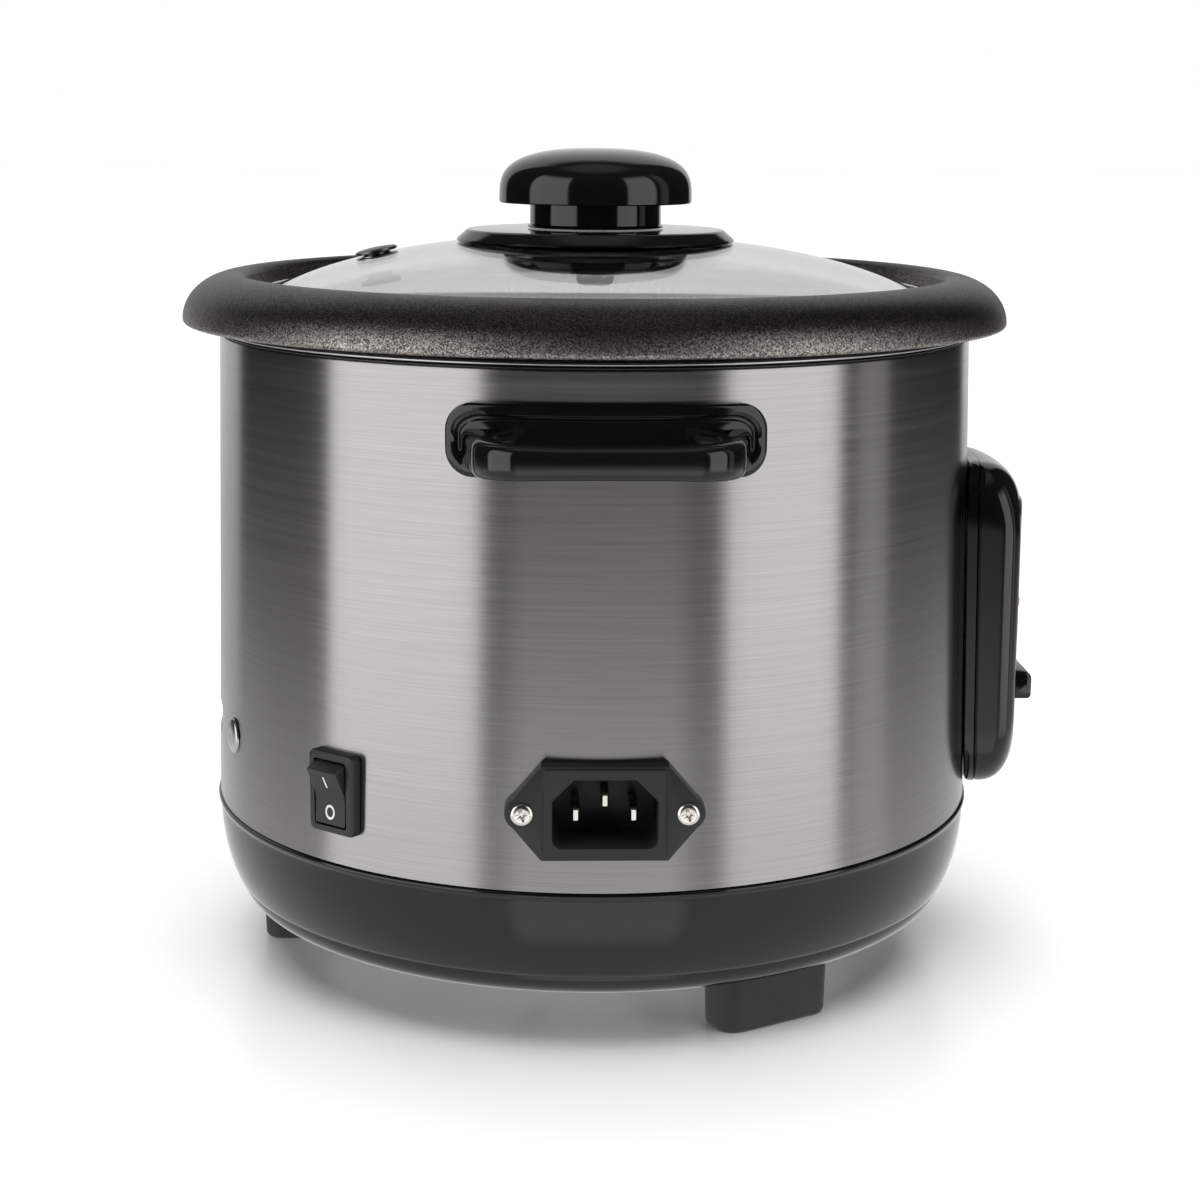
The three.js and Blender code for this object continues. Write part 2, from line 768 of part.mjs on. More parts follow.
const slotSize = {
  width: tipWidth + 1.2,
  bottom: tipLevel - tipHeight / 2 - 7.4,
  top: tipLevel + tipHeight / 2 + 0.6,
};
const faceMargin = { side: 9, top: 10, slot: 7.4 }; // panel cover left bare round the face plate
const faceTop = panelTop - faceMargin.top;
const faceBottom = slotSize.top + faceMargin.slot;
const faceSize = {
  width: panelWidth - faceMargin.side * 2,
  height: faceTop - faceBottom,
  level: (faceTop + faceBottom) / 2,
};
const lampPitch = 20;
const lampRadius = 2.6;
const lampProud = 0.25; // height of the lens above the panel's face beside it
const lampLevel = faceSize.level - faceSize.height * 0.22;

function facePlug(margin, from, to) {
  const outline = roundedShape(faceSize.width + margin * 2, faceSize.height + margin * 2, 4);
  return wallCut(outline, FRONT, faceSize.level, from, to);
}

function ring(inner, outer, facets) {
  return turned([
    [inner, shellBottom - 20],
    [outer, shellBottom - 20],
    [outer, shellTop + 20],
    [inner, shellTop + 20],
  ], facets);
}

function lampHole(side, radius) {
  const hole = rod(radius, seamRadius, panelFace + 6, small);
  return onWall(hole.translate([(side * lampPitch) / 2, 0, 0]), FRONT, lampLevel);
}

function tipSlot(from, to) {
  const outline = roundedShape(slotSize.width, slotSize.top - slotSize.bottom, 2);
  return wallCut(outline, FRONT, (slotSize.top + slotSize.bottom) / 2, from, to);
}

function buildPanelCover() {
  const baseClear = drumPlug(3.4 + gap);
  let cover = panelSkin(0).subtract(panelSkin(coverWall)).subtract(baseClear);
  const recess = facePlug(gap, seamRadius, panelFace + 6).intersect(
    ring(panelFace - faceSheet - gap, panelFace + 8, round * 2),
  );
  cover = cover.subtract(recess).subtract(tipSlot(seamRadius, panelFace + 8));
  for (const side of [-1, 1]) {
    cover = cover.subtract(lampHole(side, lampRadius + gap));
  }
  return cover;
}

function buildPanelBase() {
  const outline = roundedShape(panelWidth + 2, panelHeight + 2, 17);
  const slab = wallCut(outline, FRONT, panelMiddle);
  let base = slab.intersect(drumPlugs.base).subtract(drumPlugs.flush);
  base = base.subtract(tipSlot(seamRadius * 0.8, panelFace + 8));
  return base;
}

function buildPanelFace() {
  let face = facePlug(0, seamRadius, panelFace + 6);
  face = face.intersect(ring(panelFace - faceSheet, panelFace, round * 2));
  for (const side of [-1, 1]) {
    face = face.subtract(lampHole(side, lampRadius + gap));
  }
  return face;
}

function buildLamp(side) {
  const rear = Math.sqrt(panelFace ** 2 - (lampPitch / 2) ** 2);
  const lens = turned([
    [0, rear - 5],
    [lampRadius, rear - 5],
    [lampRadius, rear + lampProud - 0.5],
    [lampRadius - 0.9, rear + lampProud - 0.1],
    [0, rear + lampProud],
  ], small);
  return onWall(lens.translate([(side * lampPitch) / 2, 0, 0]), FRONT, lampLevel);
}

body.add(mesh('panel_base', buildPanelBase(), satinBlack));
body.add(mesh('panel_cover', buildPanelCover(), glossBlack));
body.add(mesh('panel_face', buildPanelFace(), faceSilver));
body.add(mesh('cook_light', buildLamp(-1), redLens));
body.add(mesh('warm_light', buildLamp(1), amberLens));

// ---------------------------------------------------------------- side handles
const plateHeight = 17.6;
const gripHeight = 8;
const loopHalf = { wall: handleWidth / 2 - 3, front: handleWidth / 2 - 8 };
const barDepth = 8.5;
const legDepth = 6;

// The loop in plan: legs that lean in from the wall to a straight bar with large round corners.
function loopShape(inset, near, far, corner) {
  const wide = loopHalf.wall - inset;
  const narrow = loopHalf.front - inset;
  const shape = new THREE.Shape();
  shape.moveTo(-wide, near);
  shape.lineTo(wide, near);
  shape.lineTo(narrow, far - corner);
  shape.quadraticCurveTo(narrow - 1, far, narrow - corner * 1.3, far);
  shape.lineTo(-narrow + corner * 1.3, far);
  shape.quadraticCurveTo(-narrow + 1, far, -narrow, far - corner);
  return shape;
}

function buildHandle(bearing) {
  const wall = shellRadius(handleLevel);
  const reach = wall + handleReach;
  const plate = wallCut(roundedShape(handleWidth, plateHeight, 6.5), bearing, handleLevel);
  const bevel = 1.8;
  const near = wall * 0.86;
  const outline = loopShape(bevel, near, reach - bevel, 12);
  const settings = {
    depth: gripHeight - bevel * 2,
    bevelEnabled: true,
    bevelThickness: bevel,
    bevelSize: bevel,
    bevelSegments: 2,
    curveSegments: 4,
  };
  const solidLoop = solid(new THREE.ExtrudeGeometry(outline, settings));
  const fingerShape = loopShape(legDepth, near - 2, reach - barDepth, 7);
  const finger = prism(fingerShape, gripHeight * 4, 3).translate([0, 0, -gripHeight * 2]);
  const loop = solidLoop.translate([0, 0, -gripHeight / 2 + bevel]).subtract(finger);
  // The loop is drawn flat: its x runs along the wall and its y runs outwards.
  const angle = THREE.MathUtils.degToRad(bearing);
  const outward = new THREE.Vector3(Math.cos(angle), Math.sin(angle), 0);
  const up = new THREE.Vector3(0, 0, 1);
  const along = new THREE.Vector3().crossVectors(outward, up);
  const level = new THREE.Vector3(0, 0, gripLevel);
  const standing = oriented(loop, along, outward, up, level);
  let handle = plate.intersect(drumPlugs.handle).add(standing).subtract(drumPlugs.flush);
  for (const side of [-1, 1]) {
    const hole = rod(1.4 + gap, wall * 0.8, wall + 12).translate([(side * handleScrewPitch) / 2, 0, 0]);
    handle = handle.subtract(onWall(hole, bearing, handleLevel));
  }
  return handle;
}

function buildHandleScrew(bearing, side) {
  const wall = shellRadius(handleLevel) - shellSheet;
  const offset = handleScrewPitch / 2;
  const headTop = Math.sqrt(wall ** 2 - (offset + 3.2) ** 2) - gap - facetSag;
  const screw = turned([
    [0, headTop - 2],
    [3, headTop - 2],
    [3, headTop],
    [1.4, headTop],
    [1.4, wall + 10],
    [0, wall + 10],
  ], small);
  return onWall(screw.translate([side * offset, 0, 0]), bearing, handleLevel);
}

for (const [side, bearing] of Object.entries({ left: LEFT, right: RIGHT })) {
  body.add(mesh(`handle_${side}`, buildHandle(bearing), glossBlack));
  const frontwards = bearing === LEFT ? 1 : -1;
  body.add(mesh(`handle_screw_${side}_front`, buildHandleScrew(bearing, frontwards), plainSteel));
  body.add(mesh(`handle_screw_${side}_rear`, buildHandleScrew(bearing, -frontwards), plainSteel));
}

// ---------------------------------------------------------------- mains inlet
const inletFace = seamRadius + 2.8;
const inletBlock = { width: 29.7, height: 22.3, proud: 0.6 };
const socket = { width: 25.2, height: 16.8, depth: 16.5, chamfer: 5.2, corner: 2 };
const earRadius = 4.2;
const screwHeadRadius = 2.9;

function socketShape() {
  const x = socket.width / 2;
  const y = socket.height / 2;
  return polygonShape([
    [-x + socket.corner, -y],
    [x - socket.corner, -y],
    [x, -y + socket.corner],
    [x, y - socket.chamfer],
    [x - socket.chamfer, y],
    [-x + socket.chamfer, y],
    [-x, y - socket.chamfer],
    [-x, -y + socket.corner],
  ]);
}

// A flat plate whose two ears taper to a round end about each fixing screw.
function flangeShape() {
  const y = inletBlock.height / 2 + 0.7;
  const shoulder = inletBlock.width / 2 + 0.5;
  const middle = inletScrewPitch / 2;
  const points = [];
  for (const side of [1, -1]) {
    points.push([side * shoulder, side * -y]);
    for (const swing of [-50, -17, 17, 50]) {
      const angle = THREE.MathUtils.degToRad(swing);
      const x = middle + earRadius * Math.cos(angle);
      points.push([side * x, side * earRadius * Math.sin(angle)]);
    }
    points.push([side * shoulder, side * y]);
  }
  return polygonShape(points);
}

const inletFront = inletFace + inletBlock.proud;
const socketBack = inletFront - socket.depth;

function buildInlet() {
  const flange = prism(flangeShape(), 12).translate([0, 0, inletFace - 12]);
  let front = onWall(flange, LEFT, inletLevel).subtract(drumPlugs.flush);
  const rim = roundedShape(inletBlock.width, inletBlock.height, 1.6);
  const proud = prism(rim, inletBlock.proud + 1).translate([0, 0, inletFace - 1]);
  const housing = prism(
    roundedShape(inletHole.width - gap * 2, inletHole.height - gap * 2, 1),
    inletFace - socketBack + 1.2,
  ).translate([0, 0, socketBack - 1.7]);
  front = front.add(onWall(proud.add(housing), LEFT, inletLevel));
  const cavity = prism(socketShape(), socket.depth + 1);
  front = front.subtract(onWall(cavity.translate([0, 0, socketBack]), LEFT, inletLevel));
  for (const pin of inletPins) {
    const slot = prism(roundedShape(2 + gap * 2, 4 + gap * 2, 0.3), 10, 1);
    front = front.subtract(onWall(slot.translate([pin.x, pin.y, socketBack - 6]), LEFT, inletLevel));
  }
  for (const side of [-1, 1]) {
    const hole = rod(1.4 + gap, inletFace - 14, inletFace + 1);
    const seat = rod(screwHeadRadius + gap, inletFace, inletFront + 1);
    const placed = hole.add(seat).translate([(side * inletScrewPitch) / 2, 0, 0]);
    front = front.subtract(onWall(placed, LEFT, inletLevel));
  }
  return front;
}

const inletPins = [
  { name: 'live', x: -7, y: -1.2, tip: 3.6 },
  { name: 'earth', x: 0, y: 2.8, tip: 2.2 },
  { name: 'neutral', x: 7, y: -1.2, tip: 3.6 },
];

body.add(mesh('inlet_housing', buildInlet(), satinBlack));
for (const pin of inletPins) {
  const length = inletFront - pin.tip - (socketBack - 7);
  const blade = prism(roundedShape(2, 4, 0.4), length, 1);
  const placed = blade.translate([pin.x, pin.y, socketBack - 7]);
  body.add(mesh(`inlet_pin_${pin.name}`, onWall(placed, LEFT, inletLevel), nickel));
}
for (const [place, side] of Object.entries({ front: 1, rear: -1 })) {
  const screw = turned([
    [0, inletFace - 12],
    [1.4, inletFace - 12],
    [1.4, inletFace + gap],
    [screwHeadRadius, inletFace + gap],
    [2.6, inletFace + 1.4],
    [1.4, inletFace + 2],
    [0, inletFace + 2.1],
  ], small);
  const placed = screw.translate([(side * inletScrewPitch) / 2, 0, 0]);
  body.add(mesh(`inlet_screw_${place}`, onWall(placed, LEFT, inletLevel), nickel));
}

// ---------------------------------------------------------------- rocker switch
const switchFace = seamRadius + 2.4;
const rockerRadius = 8.2;
const rockerPivot = switchFace - 1.8;
const rockerTilt = 12; // degrees each side of the middle position
const rockerEdge = 25.5; // degrees from the rocker's upright to each edge of its face
const rockerWidth = 10;

function buildSwitchFrame() {
  const flange = prism(roundedShape(15, 21, 1.6), 12).translate([0, 0, switchFace - 12]);
  const shaft = prism(
    roundedShape(switchHole.width - gap * 2, switchHole.height - gap * 2, 0.8),
    16,
  ).translate([0, 0, switchFace - 17]);
  const well = block(rockerWidth + 0.8, rockerRadius * 2 + 0.8, switchFace - 11, switchFace + 1);
  const outside = onWall(flange, switchBearing, switchLevel).subtract(drumPlugs.flush);
  const inside = onWall(shaft, switchBearing, switchLevel);
  return outside.add(inside).subtract(onWall(well, switchBearing, switchLevel));
}

function buildRocker() {
  const outline = [];
  for (const side of [1, -1]) {
    const from = side > 0 ? rockerEdge : -26;
    const to = side > 0 ? -26 : rockerEdge;
    for (let i = 0; i <= 4; i += 1) {
      const swing = THREE.MathUtils.degToRad(from + ((to - from) * i) / 4);
      const out = rockerRadius * Math.sin(swing);
      outline.push([out, side * rockerRadius * Math.cos(swing)]);
    }
  }
  outline.push([1.9, 0]);
  const section = prism(polygonShape(outline), rockerWidth).translate([0, 0, -rockerWidth / 2]);
  const tilted = section.rotate([0, 0, -rockerTilt]);
  const standing = oriented(
    tilted,
    new THREE.Vector3(0, 0, 1),
    new THREE.Vector3(0, 1, 0),
    new THREE.Vector3(-1, 0, 0),
    new THREE.Vector3(0, 0, rockerPivot),
  );
  return onWall(standing, switchBearing, switchLevel);
}

body.add(mesh('switch_frame', buildSwitchFrame(), satinBlack));
group.add(mesh('switch_rocker', buildRocker(), satinBlack));

// ---------------------------------------------------------------- scoop-holder mount
function buildHolderBracket() {
  const span = seamRadius * 2 * Math.sin(THREE.MathUtils.degToRad(29));
  const slab = wallCut(roundedShape(span, 14, 3), BACK, holderLevel);
  const outer = drumPlug(-(shellSheet + gap));
  const inner = drumPlug(-(shellSheet + gap + 1.2));
  let plate = slab.intersect(outer).subtract(inner);
  plate = plate.subtract(wallCut(roundedShape(holderSlot.width, holderSlot.height, 3), BACK, holderLevel));
  for (const bearing of rivetBearings) {
    plate = plate.subtract(onWall(rod(2.2, seamRadius * 0.8, seamRadius * 1.2), bearing, holderLevel));
  }
  return plate;
}

function buildRivet(bearing) {
  const wall = shellRadius(holderLevel);
  const inside = wall - shellSheet - gap - 1.2 - gap - facetSag;
  const rivet = turned([
    [0, inside - 1],
    [3.4, inside - 1],
    [3.4, inside],
    [1.9, inside],
    [1.9, wall + gap],
    [4.8, wall + gap],
    [4.4, wall + gap + 0.5],
    [2.6, wall + gap + 0.9],
    [0, wall + gap + 0.9],
  ], 16);
  return onWall(rivet, bearing, holderLevel);
}

body.add(mesh('holder_bracket', buildHolderBracket(), plainSteel));
body.add(mesh('holder_rivet_right', buildRivet(rivetBearings[0]), plainSteel));
body.add(mesh('holder_rivet_left', buildRivet(rivetBearings[1]), plainSteel));

// ---------------------------------------------------------------- internal wiring
const wireRadius = 1.2;
const terminalX = -(socketBack - 7) + 1.8;
const endAngle = THREE.MathUtils.degToRad(elementGap);
const elementEnd = {
  x: -elementPitch * Math.cos(endAngle),
  y: elementPitch * Math.sin(endAngle),
  z: linerFloor - 9 - wireRadius - gap * 2,
};
const switchRear = onBearing(switchBearing, switchFace - 17 - gap - 1, switchLevel);

function onBearing(bearing, radius, z) {
  const angle = THREE.MathUtils.degToRad(bearing);
  return new THREE.Vector3(radius * Math.cos(angle), radius * Math.sin(angle), z);
}

function wire(name, points, material) {
  body.add(mesh(name, tube(points, wireRadius, 8, 3), material));
}

const pinLevel = inletLevel - 1.2;
wire('wire_neutral', [
  new THREE.Vector3(terminalX, -7, pinLevel),
  new THREE.Vector3(terminalX + 8, -8, pinLevel - 1),
  new THREE.Vector3(elementEnd.x - 1, -elementEnd.y, elementEnd.z - 4),
  new THREE.Vector3(elementEnd.x, -elementEnd.y, elementEnd.z),
], wireBlue);
wire('wire_live', [
  new THREE.Vector3(terminalX, 7, pinLevel),
  new THREE.Vector3(terminalX + 5, 12, pinLevel - 6),
  new THREE.Vector3(switchRear.x - 1, switchRear.y - 14, switchLevel - 9),
  new THREE.Vector3(switchRear.x, switchRear.y, switchLevel - 5),
], wireBrown);
wire('wire_switched', [
  new THREE.Vector3(switchRear.x, switchRear.y, switchLevel + 5),
  new THREE.Vector3(switchRear.x + 7, switchRear.y - 16, switchLevel + 3),
  new THREE.Vector3(elementEnd.x, elementEnd.y + 6, elementEnd.z - 4),
  new THREE.Vector3(elementEnd.x, elementEnd.y, elementEnd.z),
], wireBrown);
wire('wire_earth', [
  new THREE.Vector3(terminalX, 0, inletLevel + 2.8),
  new THREE.Vector3(terminalX + 8, 0, inletLevel + 4),
  new THREE.Vector3(terminalX + 15, 0, linerFloor - 5),
  new THREE.Vector3(terminalX + 16, 0, linerFloor - gap - 0.6),
], wireGreen);

// ---------------------------------------------------------------- pot
function buildPot() {
  const bend = 14;
  const tipHalf = potWall / 2;
  const rimAxis = rimRadius - crestRadius;
  const outerTop = arc(crestRadius, rimEdge, rimAxis, rimCrest - rimEdge, 0, 90, 6);
  const innerTop = arc(
    crestRadius,
    rimEdge,
    rimAxis - potWall,
    rimCrest - rimEdge - potWall,
    90,
    0,
    4,
  );
  return turned([
    [0, potUnder],
    ...arc(potOuter - bend, potUnder + bend, bend, bend, -90, 0, 3),
    [potOuter, lidLedge - 3.2],
    [ledgeRadius + potWall, lidLedge - 0.6],
    [ledgeRadius + potWall, rimCrest - 3],
    ...innerTop,
    [rimRadius - tipHalf, rimEdge - tipHalf],
    ...outerTop,
    [ledgeRadius + 0.7, rimCrest - 0.9],
    [ledgeRadius, rimCrest - 2.9],
    [ledgeRadius, lidLedge],
    [potInner + 0.6, lidLedge],
    [potInner, lidLedge - 1],
    ...arc(potInner - bend + potWall, potFloor + bend - potWall, bend - potWall, bend - potWall, 0, -90, 3),
    [0, potFloor],
  ], round);
}

group.add(mesh('inner_pot', buildPot(), nonStick));

// ---------------------------------------------------------------- lid
const bandSheet = 0.6;
const bandUnder = lidLedge + gap;
const bandRadius = ledgeRadius - 0.7;
const glassRadius = bandRadius - bandSheet - gap;
const glassEdgeUnder = bandUnder + bandSheet + gap;
const glassEdgeTop = glassEdgeUnder + glassThickness;
const glassFlat = glassRadius - 5; // the dome ends here and runs straight to the edge

// Height of the glass's outer face at a radius: a shallow dome that falls faster near its edge.
function domeHeight(r) {
  const t = r / glassRadius;
  return glassEdgeTop + domeRise * (1 - 0.62 * t ** 2 - 0.38 * t ** 4);
}

function domePoints(from, to, count, drop) {
  const points = [];
  for (let i = 0; i <= count; i += 1) {
    const r = from + ((to - from) * i) / count;
    points.push([r, domeHeight(r) - drop]);
  }
  return points;
}

const screwHoleRadius = 4;
const ventRadius = glassRadius * 0.64;
const ventBore = 4.2;
const washerRadius = 24.5;
const knobFlangeRadius = 38;
const neckRadius = 18.1;
const flangeTop = domeHeight(0) + 1.9;
const neckTop = flangeTop + 6.6;
const knobTop = flangeTop + knobHeight;

function buildGlass() {
  const glass = turned([
    ...domePoints(screwHoleRadius, glassFlat, 5, 0),
    [glassRadius, glassEdgeTop],
    [glassRadius, glassEdgeUnder],
    ...domePoints(screwHoleRadius, glassFlat, 5, glassThickness).reverse(),
  ], round);
  const hole = rod(ventBore, domeHeight(0) - 40, domeHeight(0) + 10, 16);
  return glass.subtract(hole.translate([0, ventRadius, 0]));
}

function buildBand() {
  const inner = glassRadius - 3.4;
  const top = glassEdgeTop + gap + 0.9;
  const edgeSlope = (domeHeight(glassFlat) - glassEdgeTop) / (glassRadius - glassFlat);
  const lipUnder = glassEdgeTop + edgeSlope * (glassRadius - inner) + gap + 0.1;
  return turned([
    [inner, bandUnder],
    [bandRadius - 0.6, bandUnder],
    [bandRadius, bandUnder + 0.6],
    [bandRadius, top - 1],
    [bandRadius - 0.8, top],
    [inner, lipUnder + bandSheet],
    [inner, lipUnder],
    [bandRadius - bandSheet, glassEdgeTop + gap + 0.1],
    [bandRadius - bandSheet, bandUnder + bandSheet],
    [inner, bandUnder + bandSheet],
  ], round);
}

function buildVentGrommet() {
  const top = domeHeight(ventRadius);
  const slope = (domeHeight(ventRadius + 1) - domeHeight(ventRadius - 1)) / 2;
  const rise = 6 * Math.abs(slope) + gap;
  const outer = 5.8;
  const eyelet = turned([
    [2, top - glassThickness - rise - 1],
    [outer, top - glassThickness - rise - 1],
    [outer, top - glassThickness - rise],
    [ventBore - gap - 0.2, top - glassThickness - rise],
    [ventBore - gap - 0.2, top + rise],
    [outer, top + rise],
    [outer - 0.4, top + rise + 0.8],
    [3, top + rise + 1],
    [2, top + rise + 0.6],
  ], 16);
  return eyelet.translate([0, ventRadius, 0]);
}

function buildKnobCap() {
  const r = knobRadius;
  const under = neckTop + gap;
  return turned([
    [0, under],
    [r - 0.8, under],
    [r, under + 0.8],
    [r, under + 4.4],
    [r - 0.6, knobTop - 6.6],
    [r - 1.8, knobTop - 4.6],
    [r - 3.6, knobTop - 3.2],
    [r - 7, knobTop - 2.1],
    [r - 13, knobTop - 1],
    [r - 19, knobTop - 0.3],
    [0, knobTop],
  ], fine);
}

function buildKnobNeck() {
  const under = flangeTop + gap;
  return turned([
    [1.8 + gap, under],
    [neckRadius, under],
    [neckRadius, neckTop - 1.2],
    [neckRadius + 1.2, neckTop],
    [0, neckTop],
    [0, neckTop - 1.6],
    [1.8 + gap, neckTop - 1.6],
  ], fine);
}

function buildKnobFlange() {
  const edge = domeHeight(knobFlangeRadius) + gap;
  const bottom = domePoints(screwHoleRadius - 1, knobFlangeRadius - 0.6, 3, -gap - 0.1);
  return turned([
    ...bottom,
    [knobFlangeRadius, edge + 0.6],
    [knobFlangeRadius - 0.3, edge + 1.6],
    [knobFlangeRadius - 1.6, edge + 2.2],
    [neckRadius + 6, flangeTop],
    [screwHoleRadius - 1, flangeTop],
  ], fine);
}

function buildKnobWasher() {
  const top = domePoints(3.2, washerRadius, 2, glassThickness + gap + 0.2);
  const under = top[top.length - 1][1] - 2.2;
  return turned([
    ...top,
    [washerRadius, under + 0.8],
    [washerRadius - 1, under],
    [3.2, under],
  ], fine);
}

const washerUnder = domeHeight(washerRadius) - glassThickness - gap - 0.2 - 2.2;

function buildKnobScrew() {
  const head = washerUnder - gap;
  return turned([
    [0, head - 2.6],
    [4, head - 2.4],
    [5.2, head - 1.4],
    [5.2, head],
    [1.8, head],
    [1.8, neckTop - 2.2],
    [0, neckTop - 2.2],
  ], 16);
}

lid.add(mesh('lid_glass', buildGlass(), clearGlass));
lid.add(mesh('lid_rim_band', buildBand(), brushedSteel));
lid.add(mesh('vent_grommet', buildVentGrommet(), nickel));
lid.add(mesh('knob_cap', buildKnobCap(), glossBlack));
lid.add(mesh('knob_neck', buildKnobNeck(), glossBlack));
lid.add(mesh('knob_flange', buildKnobFlange(), glossBlack));
lid.add(mesh('knob_washer', buildKnobWasher(), rubberBlack));
lid.add(mesh('knob_screw', buildKnobScrew(), plainSteel));

// ---------------------------------------------------------------- assembly
// The drum's axis stands behind the middle of the footprint, as the panel reaches further forward
// than the pot rim reaches back.
group.add(body, lid, sensor, lever);
group.position.set(0, (tipReach - rimRadius) / 2, 0);
group.updateMatrixWorld(true);

export default group;
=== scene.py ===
import json
import math

import bmesh
import bpy
from mathutils import Matrix, Vector


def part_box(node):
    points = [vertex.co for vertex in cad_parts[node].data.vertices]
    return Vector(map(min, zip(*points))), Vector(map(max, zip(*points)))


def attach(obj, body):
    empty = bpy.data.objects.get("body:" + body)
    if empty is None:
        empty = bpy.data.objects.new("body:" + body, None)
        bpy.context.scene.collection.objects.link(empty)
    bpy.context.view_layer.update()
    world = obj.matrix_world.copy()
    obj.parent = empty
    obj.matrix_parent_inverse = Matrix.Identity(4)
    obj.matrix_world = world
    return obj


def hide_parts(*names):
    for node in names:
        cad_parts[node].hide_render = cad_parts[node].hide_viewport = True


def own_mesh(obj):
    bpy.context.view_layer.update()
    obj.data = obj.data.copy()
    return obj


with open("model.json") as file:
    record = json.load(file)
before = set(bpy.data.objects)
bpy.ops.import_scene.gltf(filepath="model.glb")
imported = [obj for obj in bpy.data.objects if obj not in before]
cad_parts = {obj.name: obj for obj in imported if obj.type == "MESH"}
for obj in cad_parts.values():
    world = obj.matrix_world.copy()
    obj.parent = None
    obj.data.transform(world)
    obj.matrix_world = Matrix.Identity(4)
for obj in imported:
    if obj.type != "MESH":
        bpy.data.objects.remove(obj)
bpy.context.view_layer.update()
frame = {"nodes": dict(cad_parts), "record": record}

scene = bpy.context.scene
MM = 0.001


# ---------------- sizes read from the frame
X, Y, Z = range(3)


class Box:
    """The box of a CAD node, in mm."""

    def __init__(self, node):
        self.lo, self.hi = ([v / MM for v in corner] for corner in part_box(node))
        self.mid = [(a + b) / 2 for a, b in zip(self.lo, self.hi)]
        self.size = [b - a for a, b in zip(self.lo, self.hi)]


pot_box = Box("inner_pot")
shell_box = Box("outer_shell")
AX = pot_box.mid[X]
AY = pot_box.mid[Y]
RIM_R = pot_box.size[X] / 2
SEAM_R = shell_box.size[X] / 2
SHELL_Z0 = shell_box.lo[Z]
SHELL_Z1 = shell_box.hi[Z]
TAPER = 3.2  # by how much the drum's radius shrinks from its foot to its top
AXIS = Vector((AX, AY, 0))
UP = Vector((0, 0, 1))
DRUM_STEPS, BOWL_STEPS, PLATE_STEPS, SMALL_STEPS = 256, 224, 192, 128
LEFT, RIGHT, FRONT, BACK = 180, 0, 270, 90


def wall_r(z):
    return SEAM_R - TAPER * (z - SHELL_Z0) / (SHELL_Z1 - SHELL_Z0)


# ---------------- mesh helpers, sizes in mm
def shade(mesh, angle):
    """Smooth shading that keeps edges sharper than the angle crisp."""
    for p in mesh.polygons:
        p.use_smooth = True
    mesh.set_sharp_from_angle(angle=math.radians(angle))


def mend(mesh, change=None):
    """Applies a change to the mesh and turns its faces outwards."""
    bm = bmesh.new()
    bm.from_mesh(mesh)
    if change:
        change(bm)
    bmesh.ops.recalc_face_normals(bm, faces=bm.faces)
    bm.to_mesh(mesh)
    bm.free()


def new_object(name, verts, faces, smooth=40):
    mesh = bpy.data.meshes.new(name)
    mesh.from_pydata([tuple(c * MM for c in v) for v in verts], [], faces)
    mesh.validate()
    mend(mesh)
    shade(mesh, smooth)
    obj = bpy.data.objects.new(name, mesh)
    scene.collection.objects.link(obj)
    return obj


# Below these there is nothing to round; a round corner takes up at most this share of each side.
TINY, NEARLY_STRAIGHT = 1e-6, 0.02
MOST_OF_SIDE = 0.49


def corner(before, at, after, radius, steps):
    """The arc that rounds the corner at a point, or the point where there is nothing to round."""
    p = Vector(at)
    u, v = Vector(before) - p, Vector(after) - p
    lu, lv = u.length, v.length
    if radius <= 0 or lu < TINY or lv < TINY:
        return [tuple(at)]
    u, v = u / lu, v / lv
    half = math.acos(max(-1, min(1, u.dot(v)))) / 2
    if abs(math.pi / 2 - half) < NEARLY_STRAIGHT:
        return [tuple(at)]
    reach = min(radius / math.tan(half), lu * MOST_OF_SIDE, lv * MOST_OF_SIDE)
    centre = p + (u + v).normalized() * (reach * math.tan(half) / math.sin(half))
    start, end = p + u * reach - centre, p + v * reach - centre
    turn = start.angle_signed(end)
    out = []
    for k in range(steps + 1):
        c, s = math.cos(-turn * k / steps), math.sin(-turn * k / steps)
        q = centre + Vector((start.x * c - start.y * s, start.x * s + start.y * c))
        out.append((q.x, q.y))
    return out


def filleted(points, steps=5):
    """Rounds the corners of a closed outline of (x, y, radius)."""
    out = []
    for i, (x, y, r) in enumerate(points):
        out += corner(points[i - 1][:2], (x, y), points[(i + 1) % len(points)][:2], r, steps)
    return out


def bent(points, radius, steps=10):
    """Rounds the inner corners of an open path."""
    out = [points[0]]
    for before, at, after in zip(points, points[1:], points[2:]):
        out += corner(before, at, after, radius, steps)
    return out + [points[-1]]


def circle(radius, count=40):
    turns = [2 * math.pi * k / count for k in range(count)]
    return [(radius * math.cos(t), radius * math.sin(t)) for t in turns]


def revolve(name, outline, segments=144, smooth=35, centre=None):
    """Turns a closed outline of (radius, height) about the drum's axis, or another upright one."""
    centre = centre or AXIS
    verts, rings = [], []
    for r, z in outline:
        if r < 1e-4:
            rings.append([len(verts)])
            verts.append((centre.x, centre.y, z))
        else:
            rings.append(list(range(len(verts), len(verts) + segments)))
            for k in range(segments):
                a = 2 * math.pi * k / segments
                verts.append((centre.x + r * math.cos(a), centre.y + r * math.sin(a), z))
    faces = []
    for i, low in enumerate(rings):
        high = rings[(i + 1) % len(rings)]
        if len(low) == 1 and len(high) == 1:
            continue
        for k in range(segments):
            n = (k + 1) % segments
            if len(low) == 1:
                faces.append((low[0], high[k], high[n]))
            elif len(high) == 1:
                faces.append((low[k], high[0], low[n]))
            else:
                faces.append((low[k], high[k], high[n], low[n]))
    return new_object(name, verts, faces, smooth)


def heading(bearing):
    """The level direction that points away from the axis at a bearing."""
    a = math.radians(bearing)
    return Vector((math.cos(a), math.sin(a), 0))


